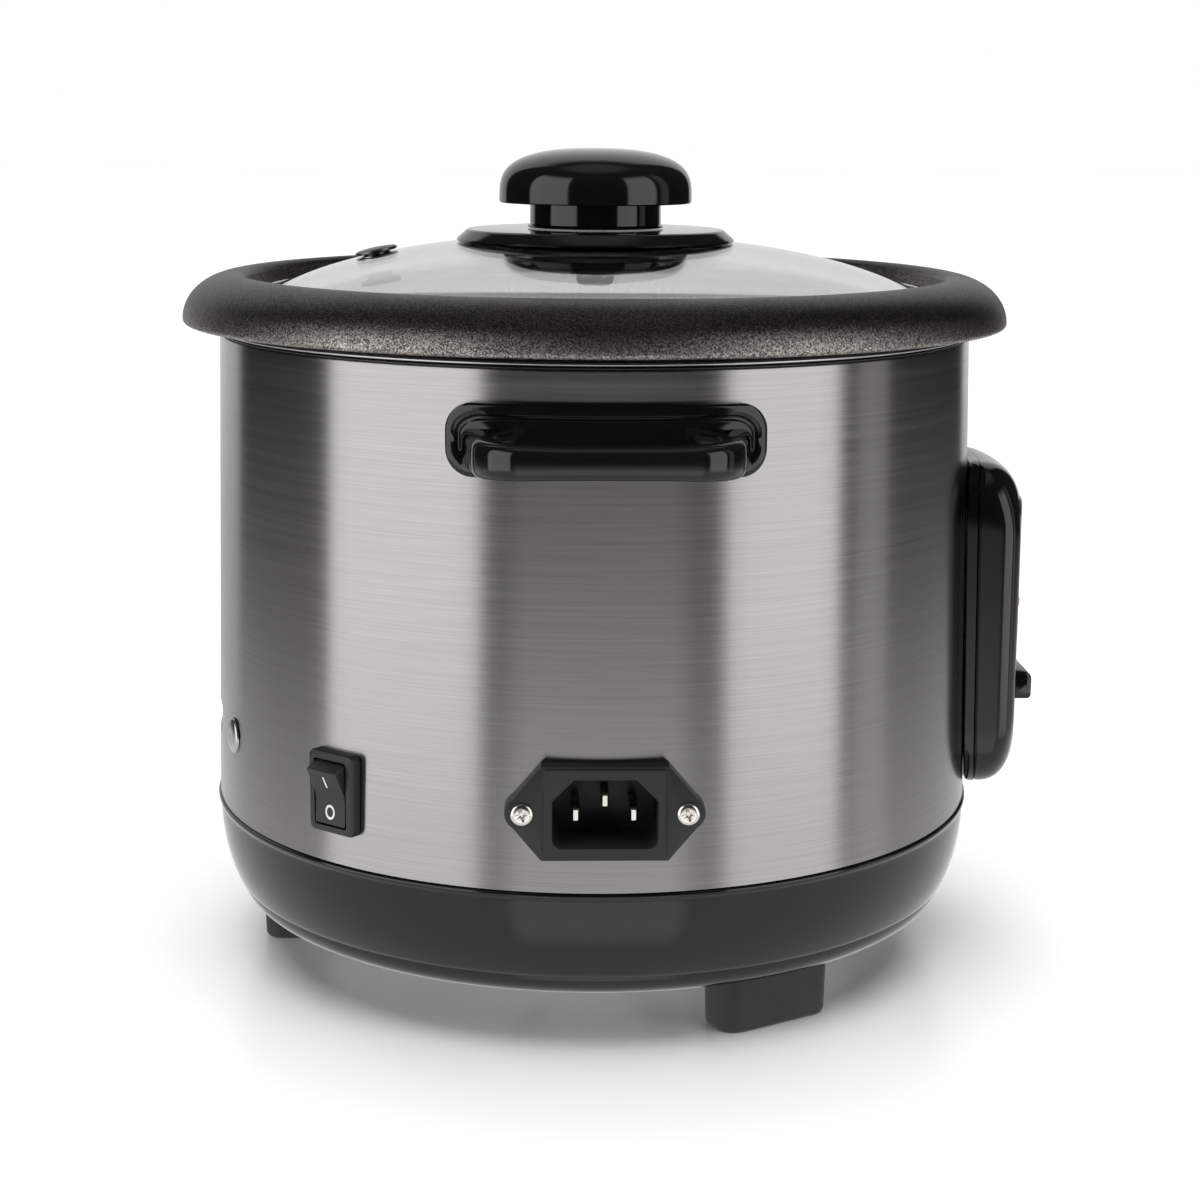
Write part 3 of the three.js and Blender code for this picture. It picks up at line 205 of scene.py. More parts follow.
def on_wall(bearing, level, x, y, out):
    """A point on the drum's wall: x to the right seen from outside, y up, out from the axis (flat)."""
    outward = heading(bearing)
    right = UP.cross(outward)
    return AXIS + right * x + outward * out + Vector((0, 0, level + y))


def on_curve(bearing, level, x, y, out):
    """The same, wrapped round the drum: x is an arc length and out is measured from the wall."""
    z = level + y
    r = wall_r(z)
    a = math.radians(bearing) + x / r
    return AXIS + Vector(((r + out) * math.cos(a), (r + out) * math.sin(a), z))


def rounded_rect(w, h, r, per_corner=6):
    r = max(0.01, min(r, w / 2 - 0.01, h / 2 - 0.01))
    pts = []
    for cx, cy, a0 in ((1, -1, -90), (1, 1, 0), (-1, 1, 90), (-1, -1, 180)):
        for k in range(per_corner + 1):
            a = math.radians(a0 + 90 * k / per_corner)
            pts.append((cx * (w / 2 - r) + r * math.cos(a), cy * (h / 2 - r) + r * math.sin(a)))
    return pts


def densify(pts, step):
    out = []
    n = len(pts)
    for i in range(n):
        a, b = Vector(pts[i]), Vector(pts[(i + 1) % n])
        count = max(1, int(round((b - a).length / step)))
        for k in range(count):
            q = a.lerp(b, k / count)
            out.append((q.x, q.y))
    return out


def shrunk(pts, w, h, inset_x, inset_y):
    """An outline of w by h scaled so that its sides come in by the insets."""
    fx, fy = (w - inset_x * 2) / w, (h - inset_y * 2) / h
    return [(x * fx, y * fy) for x, y in pts]


def stitched(rings, n):
    """Quads that join rings of n points, each to the next."""
    faces = []
    for i in range(rings - 1):
        for k in range(n):
            m = (k + 1) % n
            faces.append((i * n + k, i * n + m, (i + 1) * n + m, (i + 1) * n + k))
    return faces


def skin(name, rings, smooth):
    """Joins rings of points in space into a body with a flat face at each end."""
    n = len(rings[0])
    verts = [tuple(v) for ring in rings for v in ring]
    ends = [tuple(range(n)), tuple(range(len(verts) - n, len(verts)))]
    return new_object(name, verts, stitched(len(rings), n) + ends, smooth)


def loft(name, rings, place, caps=(True, True), smooth=40):
    """Joins rings of ((x, y) outline, out) into a closed body; place maps (x, y, out) to space."""
    n = len(rings[0][0])
    verts = [tuple(place(x, y, out)) for pts, out in rings for x, y in pts]
    faces = stitched(len(rings), n)
    for which, flag in zip((0, len(rings) - 1), caps):
        if flag:
            faces += fill_ring(verts, [which * n + k for k in range(n)], *rings[which], place)
    return new_object(name, verts, faces, smooth)


def fill_ring(verts, ids, pts, out, place):
    """Closes a ring with shrinking copies of itself, so that a wrapped face keeps its curve."""
    faces = []
    n = len(ids)
    cx = sum(p[0] for p in pts) / n
    cy = sum(p[1] for p in pts) / n
    last = ids
    for scale in (0.75, 0.5, 0.25):
        ring = list(range(len(verts), len(verts) + n))
        for x, y in pts:
            verts.append(tuple(place(cx + (x - cx) * scale, cy + (y - cy) * scale, out)))
        for k in range(n):
            m = (k + 1) % n
            faces.append((last[k], last[m], ring[m], ring[k]))
        last = ring
    middle = len(verts)
    verts.append(tuple(place(cx, cy, out)))
    for k in range(n):
        faces.append((last[k], last[(k + 1) % n], middle))
    return faces


def combined(obj, others, operation, sharp):
    """Adds or subtracts the others, which are then removed."""
    for c in others:
        m = obj.modifiers.new("boolean", "BOOLEAN")
        m.operation = operation
        m.solver = "EXACT"
        m.object = c
    graph = bpy.context.evaluated_depsgraph_get()
    graph.update()
    mesh = bpy.data.meshes.new_from_object(obj.evaluated_get(graph), depsgraph=graph)
    obj.modifiers.clear()
    spent = [obj.data]
    obj.data = mesh
    for c in others:
        spent.append(c.data)
        bpy.data.objects.remove(c)
    for data in spent:
        bpy.data.meshes.remove(data)
    shade(mesh, sharp)
    return obj


def cut(obj, cutters):
    return combined(obj, cutters, "DIFFERENCE", 35)


def union(obj, others):
    return combined(obj, others, "UNION", 38)


def flat_place(bearing, level):
    return lambda x, y, out: on_wall(bearing, level, x, y, out)


def curve_place(bearing, level):
    return lambda x, y, out: on_curve(bearing, level, x, y, out)


def box_cutter(name, bearing, level, w, h, out0, out1, r=1.0, per_corner=4):
    pts = rounded_rect(w, h, r, per_corner)
    return loft(name, [(pts, out0), (pts, out1)], flat_place(bearing, level))


def sweep(name, path, section, place, smooth=50):
    """Sweeps section(t) -> [(side, up)] along a flat path of (x, out) points."""
    rings = []
    last = len(path) - 1
    for i, at in enumerate(path):
        along = (Vector(path[min(last, i + 1)]) - Vector(path[max(0, i - 1)])).normalized()
        side = Vector((along.y, -along.x))
        ring = []
        for s, up in section(i / last):
            q = Vector(at) + side * s
            ring.append(place(q.x, up, q.y))
        rings.append(ring)
    return skin(name, rings, smooth)


BODIES = frame["record"]["behaviour"]["bodies"]
BODY_OF = {node: body for body, nodes in BODIES.items() for node in nodes}
SLOT_OF = {s["node"]: s["material_slot"] for s in frame["record"]["subparts"]}


def detail(obj, material, node):
    """Gives a piece its look, and the body of a CAD node."""
    obj.data.materials.clear()
    obj.data.materials.append(material)
    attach(obj, BODY_OF[node])
    return obj


def stands_for(obj, material, *nodes):
    """The same for a piece that takes the place of CAD nodes."""
    detail(obj, material, nodes[0])
    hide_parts(*nodes)
    return obj


# ---------------- materials
class Graph:
    """A node tree, with short ways to add and link its nodes."""

    def __init__(self, owner):
        owner.use_nodes = True
        self.tree = owner.node_tree
        self.tree.nodes.clear()

    def node(self, kind, inputs=None, **values):
        """Adds a node; each of its inputs is given a value, or the output that it is linked to."""
        n = self.tree.nodes.new(kind)
        for key, value in values.items():
            setattr(n, key, value)
        for key, value in (inputs or {}).items():
            self.feed(n.inputs[key], value)
        return n

    def feed(self, socket, value):
        if isinstance(value, bpy.types.NodeSocket):
            self.tree.links.new(value, socket)
        else:
            socket.default_value = value


class Look(Graph):
    """One material on the standard shader."""

    def __init__(self, name, colour, roughness, metallic=0.0, **sockets):
        self.material = bpy.data.materials.new(name)
        super().__init__(self.material)
        self.shader = self.node("ShaderNodeBsdfPrincipled")
        self.node("ShaderNodeOutputMaterial", {0: self.shader.outputs[0]})
        self.set("Base Color", (*colour, 1))
        self.set("Roughness", roughness)
        self.set("Metallic", metallic)
        for key, value in sockets.items():
            self.set(key.replace("_", " "), value)
        self.at = self.node("ShaderNodeTexCoord").outputs["Object"]

    def set(self, key, value):
        self.feed(self.shader.inputs[key], value)

    def noise(self, scale, detail=4, roughness=0.5, stretch=None):
        at = self.at
        if stretch is not None:
            at = self.node("ShaderNodeMapping", {"Scale": stretch, "Vector": at}).outputs["Vector"]
        inputs = {"Scale": scale, "Detail": detail, "Roughness": roughness, "Vector": at}
        return self.node("ShaderNodeTexNoise", inputs).outputs["Fac"]

    def ramp(self, source, *stops):
        """Maps a source to a grey or a colour at each position."""
        r = self.node("ShaderNodeValToRGB", {"Fac": source})
        for item, (at, value) in zip(r.color_ramp.elements, stops):
            item.position = at
            item.color = (*value, 1) if isinstance(value, tuple) else (value, value, value, 1)
        return r.outputs["Color"]

    def tones(self, source, colour, *stops):
        """Maps a source to the colour times a factor at each position."""
        return self.ramp(source, *((at, tuple(c * factor for c in colour)) for at, factor in stops))

    def roughness(self, source, low, high):
        spread = self.node("ShaderNodeMapRange", {"To Min": low, "To Max": high, "Value": source})
        self.set("Roughness", spread.outputs["Result"])

    def bump(self, source, distance, strength):
        inputs = {"Distance": distance * MM, "Strength": strength, "Height": source}
        self.set("Normal", self.node("ShaderNodeBump", inputs).outputs["Normal"])


def brushed_drum(name, colour, roughness):
    """Fine marks that run round the drum."""
    look = Look(name, colour, roughness, 1.0, Anisotropic=0.72, Anisotropic_Rotation=0.25)
    look.set("Tangent", look.node("ShaderNodeTangent", direction_type="RADIAL", axis="Z").outputs[0])
    streak = look.noise(1, 3, 0.6, (26, 26, 5200))
    wide = look.noise(1, 4, 0.5, (9, 9, 900))
    fine_tones = look.tones(streak, colour, (0.3, 0.86), (0.7, 1.1))
    wide_tones = look.tones(wide, colour, (0.3, 0.93), (0.7, 1.06))
    tint = look.node("ShaderNodeMix", {"Factor": 0.35, 6: fine_tones, 7: wide_tones}, data_type="RGBA")
    look.set("Base Color", tint.outputs[2])
    look.roughness(wide, roughness - 0.04, roughness + 0.05)
    look.bump(streak, 0.008, 0.3)
    return look.material


def plain_metal(name, colour, roughness, scale=700):
    look = Look(name, colour, roughness, 1.0)
    blotch = look.noise(45, 3, 0.5)
    look.set("Base Color", look.tones(blotch, colour, (0.3, 0.9), (0.75, 1)))
    look.roughness(blotch, roughness - 0.06, roughness + 0.1)
    look.bump(look.noise(scale, 4, 0.6), 0.01, 0.35)
    return look.material


def turned_metal(name, colour, roughness):
    """Concentric machining marks about the drum's axis."""
    look = Look(name, colour, roughness, 1.0)
    at = look.node("ShaderNodeMapping", {"Location": (-AX * MM, -AY * MM, 0), "Vector": look.at})
    flat = look.node("ShaderNodeVectorMath", {0: at.outputs[0], 1: (1, 1, 0)}, operation="MULTIPLY")
    reach = look.node("ShaderNodeVectorMath", {0: flat.outputs[0]}, operation="LENGTH").outputs["Value"]
    inputs = {"Scale": 2600, "Detail": 2, "W": reach}
    rings = look.node("ShaderNodeTexNoise", inputs, noise_dimensions="1D").outputs["Fac"]
    look.roughness(look.noise(60, 3), roughness - 0.05, roughness + 0.1)
    look.bump(rings, 0.03, 0.5)
    return look.material


def gloss_plastic(name, colour, roughness=0.06):
    look = Look(name, colour, roughness, Specular_IOR_Level=0.42)
    film = look.noise(28, 4, 0.55)
    look.set("Base Color", look.tones(film, colour, (0.3, 1), (0.75, 1.35)))
    look.roughness(film, roughness - 0.02, roughness + 0.05)
    look.bump(look.noise(260, 3), 0.006, 0.4)
    return look.material


def grained_plastic(name, colour, roughness=0.48):
    look = Look(name, colour, roughness)
    soft = look.noise(40)
    look.set("Base Color", look.tones(soft, colour, (0.25, 0.85), (0.8, 1.25)))
    look.roughness(soft, roughness - 0.06, roughness + 0.08)
    look.bump(look.noise(2200, 2), 0.03, 0.6)
    return look.material


def rubber(name):
    look = Look(name, (0.012, 0.012, 0.0125), 0.62)
    tint = look.ramp(look.noise(55, 5), (0.3, (0.010, 0.010, 0.0105)), (0.8, (0.019, 0.019, 0.02)))
    look.set("Base Color", tint)
    look.roughness(look.noise(90), 0.5, 0.72)
    look.bump(look.noise(1500, 2), 0.03, 0.5)
    return look.material


def speckled_coat(name):
    """Charcoal paint full of fine metal flecks, which light up only where they mirror something bright; their
    colour carries painted shade, darker on faces that point upwards.
    """
    look = Look(name, (0.05, 0.047, 0.044), 0.42, Specular_IOR_Level=0.2)
    cells = look.node("ShaderNodeTexVoronoi", {"Scale": 3600, "Vector": look.at}).outputs["Color"]
    look.set("Metallic", look.ramp(cells, (0.2, 0.8), (0.6, 1.0)))
    flecks = look.ramp(cells, (0.3, (0.06, 0.057, 0.054)), (0.95, (0.56, 0.525, 0.49)))
    # Painted shade and light: the flecks' colour is darkened on upward faces, so tops read darker while side
    # and downward faces keep a lighter colour that stands for light from the floor.
    normal = look.node("ShaderNodeNewGeometry").outputs["Normal"]
    upward = look.node("ShaderNodeSeparateXYZ", {0: normal}).outputs["Z"]
    inputs = {"Factor": 1.0, 6: flecks, 7: look.ramp(upward, (0.0, 1.0), (0.55, 0.24))}
    flecks_with_painted_top_shade = look.node("ShaderNodeMix", inputs, data_type="RGBA", blend_type="MULTIPLY")
    look.set("Base Color", flecks_with_painted_top_shade.outputs[2])
    look.roughness(look.noise(70), 0.4, 0.48)
    look.bump(look.noise(2400, 3), 0.012, 0.4)
    return look.material


def glass(name):
    look = Look(name, (0.93, 0.94, 0.935), 0.015, Transmission_Weight=1.0, IOR=1.46)
    look.roughness(look.noise(30), 0.0, 0.035)
    return look.material


def lens(name, colour):
    look = Look(name, colour, 0.18, Transmission_Weight=0.35, Coat_Weight=0.5)
    look.set("Base Color", look.tones(look.noise(300, 2), colour, (0.3, 0.8), (0.7, 1)))
    look.bump(look.noise(500, 2), 0.01, 0.4)
    return look.material


def ink(name):
    look = Look(name, (0.82, 0.82, 0.8), 0.5)
    look.set("Base Color", look.ramp(look.noise(700, 3), (0.3, (0.7, 0.7, 0.68)), (0.7, (0.86, 0.86, 0.84))))
    look.bump(look.noise(1200, 2), 0.01, 0.4)
    return look.material


M = {
    "brushed_steel": brushed_drum("brushed_steel", (0.285, 0.28, 0.273), 0.22),
    "plain_steel": plain_metal("plain_steel", (0.5, 0.5, 0.5), 0.3),
    "polished_steel": plain_metal("polished_steel", (0.6, 0.6, 0.59), 0.14, 400),
    "cast_aluminium": turned_metal("cast_aluminium", (0.56, 0.565, 0.57), 0.42),
    "non_stick": speckled_coat("non_stick"),
    "gloss_black": gloss_plastic("gloss_black", (0.004, 0.004, 0.0045)),
    "satin_black": grained_plastic("satin_black", (0.011, 0.0112, 0.012)),
    "rubber_black": rubber("rubber_black"),
    "nickel": plain_metal("nickel", (0.72, 0.7, 0.66), 0.2, 500),
    "clear_glass": glass("clear_glass"),
    "dark_steel": plain_metal("dark_steel", (0.13, 0.13, 0.135), 0.3),
    "red_lens": lens("red_lens", (0.75, 0.06, 0.03)),
    "amber_lens": lens("amber_lens", (0.85, 0.36, 0.03)),
    "ferrite": grained_plastic("ferrite", (0.05, 0.05, 0.055), 0.6),
    "brass": plain_metal("brass", (0.72, 0.5, 0.2), 0.3),
    "face_silver": plain_metal("face_silver", (0.42, 0.43, 0.44), 0.38, 1500),
    "ceramic": grained_plastic("ceramic", (0.78, 0.74, 0.64), 0.5),
    "wire_brown": grained_plastic("wire_brown", (0.12, 0.05, 0.025), 0.5),
    "wire_blue": grained_plastic("wire_blue", (0.02, 0.06, 0.2), 0.5),
    "wire_green": grained_plastic("wire_green", (0.1, 0.24, 0.03), 0.5),
}
WHITE_INK = ink("white_ink")

# ---------------- camera, distances in mm and angles in degrees
VIEW_BEARING = 178.3
CAM_D, CAM_H, CAM_PITCH, CAM_ROLL, CAM_YAW = 631.0, 229.0, 12.0, 0.35, 0.174
CAM_LENS, CAM_SENSOR = 68.31, 36
cam_data = bpy.data.cameras.new("camera")
cam_data.lens = CAM_LENS
cam_data.sensor_width = CAM_SENSOR
cam = bpy.data.objects.new("camera", cam_data)
scene.collection.objects.link(cam)


def turned(a, b, degrees):
    """Two directions square to each other, both turned by an angle from a towards b."""
    t = math.radians(degrees)
    return a * math.cos(t) + b * math.sin(t), b * math.cos(t) - a * math.sin(t)


away = heading(VIEW_BEARING)
look_dir, up_dir = turned(-away, UP, -CAM_PITCH)
right_dir = look_dir.cross(UP).normalized()
up_dir = right_dir.cross(look_dir).normalized()
look_dir, right_dir = turned(look_dir, right_dir, CAM_YAW)
cam_right, cam_up = turned(right_dir, up_dir, CAM_ROLL)
pose = Matrix((cam_right, cam_up, -look_dir)).transposed().to_4x4()
pose.translation = (AXIS + away * CAM_D + UP * CAM_H) * MM
cam.matrix_world = pose
scene.camera = cam

# ---------------- levels and radii, mm
TOP_R = SEAM_R - TAPER
inlet_box = Box("inlet_housing")
INLET_Z = inlet_box.mid[Z]
INLET_FRONT = AX - inlet_box.lo[X]
SWITCH_Z = Box("switch_frame").mid[Z]
SWITCH_B = 141
HOLDER_Z = Box("holder_rivet_left").mid[Z]
HANDLE_Z = Box("handle_screw_left_front").mid[Z]
handle_box = Box("handle_left")
HANDLE_OUT = AX - handle_box.lo[X]
HANDLE_W = handle_box.size[Y]
panel_box = Box("panel_cover")
PANEL_Z = panel_box.mid[Z]
PANEL_W = panel_box.size[X]
PANEL_H = panel_box.size[Z]
PANEL_FACE = AY - panel_box.lo[Y]
tip_box = Box("cook_button")
TIP_Z = tip_box.mid[Z]
TIP_OUT = AY - tip_box.lo[Y]
TIP_W = tip_box.size[X]
TIP_H = tip_box.size[Z]
face_box = Box("panel_face")
FACE_Z = face_box.mid[Z]
BASE_Z0 = Box("base_housing").lo[Z]
BASE_Z1 = SHELL_Z0 - 0.3
liner_box = Box("inner_liner")
glass_box = Box("lid_glass")
GLASS_R = glass_box.size[X] / 2
GLASS_T, DOME_RISE, DOME_ROUND = 4, 16.6, 0.62
GLASS_EDGE = glass_box.lo[Z] + GLASS_T
flange_box = Box("knob_flange")
FLANGE_R = flange_box.size[X] / 2
FLANGE_Z1 = flange_box.hi[Z]
neck_box = Box("knob_neck")
cap_box = Box("knob_cap")
CAP_R = cap_box.size[X] / 2
plate_box = Box("heating_plate")
cup_box = Box("sensor_cup")
POT_OUT = TOP_R - 8.9
POT_WALL = 1.8
POT_IN = POT_OUT - POT_WALL
LEDGE_R = POT_IN + 3.5
CREST_R = LEDGE_R + 2.5
RIM_TOP = pot_box.hi[Z]
RIM_EDGE = RIM_TOP - 12


def dome_z(r):
    """Height of the lid glass's outer face."""
    t = r / GLASS_R
    return GLASS_EDGE + DOME_RISE * (1 - DOME_ROUND * t ** 2 - (1 - DOME_ROUND) * t ** 4)


def ladder(a, b, step):
    """Points along a straight line, so that holes cut only small faces."""
    count = max(1, round(math.dist(a, b) / step))
    return [tuple(p + (q - p) * k / count for p, q in zip(a, b)) for k in range(count + 1)]


def ellipse(r, z, a, b, start, end, count):
    out = []
    for k in range(count + 1):
        t = math.radians(start + (end - start) * k / count)
        out.append((r + a * math.cos(t), z + b * math.sin(t)))
    return out


# ---------------- drum: shell and liner
SHEET, BROW, TURN_IN = 0.8, 1.1, 4.3
INLET_HOLE, SWITCH_HOLE = (29.8, 21.2), (13.4, 19.8)
HOLDER_SLOT, LEVER_HOLE = (48, 8.5), (12.6, 12.8)
THROUGH = (90, 120)  # the radii between which a cutter passes through the wall
outline = ladder((SEAM_R, SHELL_Z0), (TOP_R, SHELL_Z1 - BROW), 3)
outline += ellipse(TOP_R - BROW, SHELL_Z1 - BROW, BROW, BROW, 10, 90, 5)
outline += [(TOP_R - TURN_IN, SHELL_Z1), (TOP_R - TURN_IN, SHELL_Z1 - SHEET)]
outline += [(TOP_R - SHEET * 2, SHELL_Z1 - SHEET)]
outline += ladder((TOP_R - SHEET, SHELL_Z1 - SHEET * 2), (SEAM_R - SHEET, SHELL_Z0), 3)
shell = revolve("drum_shell", outline, DRUM_STEPS)
cut(
    shell,
    [
        box_cutter("cut_inlet", LEFT, INLET_Z, *INLET_HOLE, *THROUGH),
        box_cutter("cut_switch", SWITCH_B, SWITCH_Z, *SWITCH_HOLE, *THROUGH),
        box_cutter("cut_holder", BACK, HOLDER_Z, *HOLDER_SLOT, 80, 120, 3, 8),
        box_cutter("cut_lever", FRONT, TIP_Z - 3.2, *LEVER_HOLE, *THROUGH),
    ],
)
stands_for(shell, M["brushed_steel"], "outer_shell")

LINER_Z0, LINER_Z1 = liner_box.lo[Z], liner_box.hi[Z]
LINER_R = POT_OUT + 1.9
LINER_T = 0.7
LINER_HOLE = 24
profile = [(LINER_HOLE, LINER_Z0, 0.2), (LINER_R + LINER_T, LINER_Z0, 3)]
profile += [(LINER_R + LINER_T, LINER_Z1 - LINER_T, 0.4), (TOP_R, LINER_Z1 - LINER_T, 0.3)]
profile += [(TOP_R, LINER_Z1, 0.3), (LINER_R, LINER_Z1, 1), (LINER_R, LINER_Z0 + LINER_T, 2.6)]
profile += [(LINER_HOLE, LINER_Z0 + LINER_T, 0.2)]
liner = revolve("liner", filleted(profile), PLATE_STEPS)
stands_for(liner, M["plain_steel"], "inner_liner")

# ---------------- moulded base, cover and feet
BASE_DRAW = 11.4
BASE_R0 = SEAM_R - BASE_DRAW
LEDGE_UNDER = BASE_Z1 - 1.8
CREASE_Z = BASE_Z0 + 6.6


def base_curve(z):
    t = (LEDGE_UNDER - z) / (LEDGE_UNDER - BASE_Z0)
    return BASE_R0 + BASE_DRAW * math.sqrt(max(0, 1 - t * t))


SPIGOT_H = 5.9
CURVE_STEPS = 22
outline = [(SEAM_R - 1.2, BASE_Z1 + SPIGOT_H), (SEAM_R - 1.2, BASE_Z1)]
outline += [(SEAM_R + 0.1, BASE_Z1), (SEAM_R + 0.5, BASE_Z1 - 0.25), (SEAM_R + 0.6, BASE_Z1 - 0.7)]
outline += [(SEAM_R + 0.45, LEDGE_UNDER + 0.5), (SEAM_R + 0.1, LEDGE_UNDER + 0.1)]
curve_top = LEDGE_UNDER - 0.3
for k in range(CURVE_STEPS + 1):
    z = curve_top - (curve_top - CREASE_Z) * k / CURVE_STEPS
    outline.append((base_curve(z), z))
crease_r = base_curve(CREASE_Z)
outline += [(crease_r - 0.35, CREASE_Z - 0.35), (crease_r - 0.95, CREASE_Z - 0.6)]
UNDER_STEPS = 12
UNDER_R = BASE_R0 - 1.6
for k in range(1, UNDER_STEPS + 1):
    t = math.pi / 2 * k / UNDER_STEPS
    z = BASE_Z0 + (CREASE_Z - 0.6 - BASE_Z0) * (1 - math.sin(t))
    outline.append((UNDER_R + (crease_r - 0.95 - UNDER_R) * math.cos(t) ** 0.8, z))
cover_box = Box("bottom_cover")
COVER_R = cover_box.size[X] / 2
FLOOR_Z = BASE_Z0 + 4
outline += [(COVER_R + 0.8, BASE_Z0), (COVER_R + 0.3, BASE_Z0 + 0.5), (COVER_R + 0.3, BASE_Z0 + 1.8)]
outline += [(COVER_R - 4, BASE_Z0 + 1.8), (COVER_R - 4, FLOOR_Z), (BASE_R0 - 4, FLOOR_Z)]
outline += ellipse(BASE_R0 - 4, FLOOR_Z + 12, 8, 12, -80, 0, 8)
outline += [(SEAM_R - 3.6, BASE_Z1), (SEAM_R - 3.6, BASE_Z1 + SPIGOT_H)]
base = revolve("base", outline, DRUM_STEPS, 28)
stands_for(base, M["gloss_black"], "base_housing")

VENTS = 8
VENT_PITCH, VENT_LONG, VENT_WIDE, VENT_CORNER = COVER_R * 0.6, COVER_R * 0.34, 5, 2.4


def under_place(bearing, pitch):
    """Maps (x, y, out) to the underside: x outwards from a pitch circle, y across, out as the height."""
    outward = heading(bearing)
    across = UP.cross(outward)
    return lambda x, y, out: AXIS + outward * (pitch + x) + across * y + Vector((0, 0, out))


profile = [(0, cover_box.lo[Z]), *ladder((6, cover_box.lo[Z]), (COVER_R - 0.3, cover_box.lo[Z]), 8)]
profile += [(COVER_R, cover_box.lo[Z] + 0.3), (COVER_R, cover_box.hi[Z]), (0, cover_box.hi[Z])]
cover = revolve("bottom_cover_plate", profile, SMALL_STEPS)
vents = []
for k in range(VENTS):
    ring = rounded_rect(VENT_LONG, VENT_WIDE, VENT_CORNER)
    place = under_place(360 / VENTS * (k + 0.5), VENT_PITCH)
    vents.append(loft("vent_%d" % k, [(ring, BASE_Z0 - 2), (ring, FLOOR_Z)], place))
cut(cover, vents)
stands_for(cover, M["plain_steel"], "bottom_cover")

FOOT_PITCH = BASE_R0 - 7.8
foot_box = Box("foot_back")
FOOT_ALONG, FOOT_ACROSS, FOOT_TOP = foot_box.size[X], foot_box.size[Y], BASE_Z0 - 0.3
FOOT_CORNER = 5
WELL_R, WELL_DEEP = 3.9, 6


def foot_ring(inset, out):
    w, h = FOOT_ACROSS - inset * 2, FOOT_ALONG - inset * 2
    return rounded_rect(w, h, FOOT_CORNER - inset * 0.6, 8), out


# Radius and height of each kind of screw head.
FOOT_SCREW, INLET_SCREW, KNOB_SCREW = (3.4, 2.4), (2.8, 1.0), (5.2, 2.6)


def phillips(name, place, radius, height, material, node):
    """A pan-head screw: domed head with a cross recess, its axis along place's out direction."""
    dome = [(1.0, 0.0), (1.0, 0.28), (0.96, 0.6), (0.84, 0.86), (0.62, 1.0)]
    head = loft(name, [(circle(radius * f), height * h) for f, h in dome], place, smooth=50)
    arm, wide, depth = radius * 0.62, radius * 0.17, height * 0.15
    tools = []
    for k, turn in enumerate((18, 108)):
        c, s = math.cos(math.radians(turn)), math.sin(math.radians(turn))
        bar = [(x * c - y * s, x * s + y * c) for x, y in rounded_rect(arm * 2, wide * 2, wide * 0.5, 3)]
        tip = [(x * 0.35, y * 0.35) for x, y in bar]
        tools.append(loft("%s_cut%d" % (name, k), [(tip, depth), (bar, height * 1.05)], place))
    cut(head, tools)
    return stands_for(head, material, node)


for place_name, bearing in (("back", 90), ("front_left", 210), ("front_right", 330)):
    place = under_place(bearing, FOOT_PITCH)
    rings = [foot_ring(1.3, 0), foot_ring(0.5, 0.25), foot_ring(0.12, 0.8), foot_ring(0, 1.5)]
    rings += [foot_ring(-0.25, FOOT_TOP - 1), foot_ring(-0.25, FOOT_TOP)]
    foot = loft("rubber_foot_" + place_name, rings, place, smooth=50)
    well = circle(WELL_R, 32)
    cut(foot, [loft("well", [(well, -1), (well, WELL_DEEP)], place)])
    stands_for(foot, M["rubber_black"], "foot_" + place_name)

    def up_place(x, y, out, place=place):
        return place(x, -y, WELL_DEEP - 0.4 - out)

    node = "foot_screw_" + place_name
    phillips("foot_screw_head_" + place_name, up_place, *FOOT_SCREW, M["plain_steel"], node)

# ---------------- heating plate and sensor cup
PLATE_R = plate_box.size[Y] / 2
plate_top = plate_box.hi[Z]
CUP_R = cup_box.size[X] / 2
PLATE_T, PLATE_HOLE = 6.8, CUP_R + 1.4
LEG_PITCH, LEG_R = SEAM_R * 0.57 + 12.5, 4.5
CUP_T = 1.2
plate_under = plate_top - PLATE_T
profile = [(PLATE_HOLE, plate_under, 0.4), (PLATE_R, plate_under, 1.2), (PLATE_R, plate_top, 1.8)]
plate = revolve("hot_plate", filleted(profile + [(PLATE_HOLE, plate_top, 0.6)]), PLATE_STEPS)
stands_for(plate, M["cast_aluminium"], "heating_plate")
leg_top = plate_under + 0.1
profile = [(0, LINER_Z0 + 1), (LEG_R, LINER_Z0 + 1), (LEG_R, leg_top - 0.7)]
profile += [(LEG_R + 1.5, leg_top), (0, leg_top)]
for k, turn in enumerate((30, 150, 270)):
    leg = revolve("plate_leg_%d" % k, profile, 40, centre=AXIS + heading(turn) * LEG_PITCH)
    detail(leg, M["cast_aluminium"], "heating_plate")
cup_z0 = cup_box.lo[Z]
profile = [(0, plate_top, 0), (CUP_R, plate_top, 2.2), (CUP_R, cup_z0, 0.3), (CUP_R - CUP_T, cup_z0, 0.3)]
profile += [(CUP_R - CUP_T, plate_top - CUP_T, 1.2), (0, plate_top - CUP_T, 0)]
cup = revolve("sensor_cap", filleted(profile), 96)
stands_for(cup, M["cast_aluminium"], "sensor_cup")

# The sensor's spring is a helix of round wire, built at one length.
spring_box = Box("sensor_spring")
WIRE_R, COILS, COIL_STEPS, WIRE_SIDES = 0.7, 5, 36, 12
COIL_R = spring_box.size[X] / 2 - WIRE_R
turns = COILS * COIL_STEPS
rings = []
for i in range(turns + 1):
    t = 2 * math.pi * i / COIL_STEPS
    z = spring_box.lo[Z] + WIRE_R + (spring_box.size[Z] - 2 * WIRE_R) * i / turns
    ring = []
    for across, up in circle(WIRE_R, WIRE_SIDES):
        r = COIL_R + across
        ring.append((AX + r * math.cos(t), AY + r * math.sin(t), z + up))
    rings.append(ring)
spring = skin("cup_spring", rings, 60)
stands_for(spring, M["plain_steel"], "sensor_spring")
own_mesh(spring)

# ---------------- pot
BEND = 14
outline = [(0, pot_box.lo[Z])]
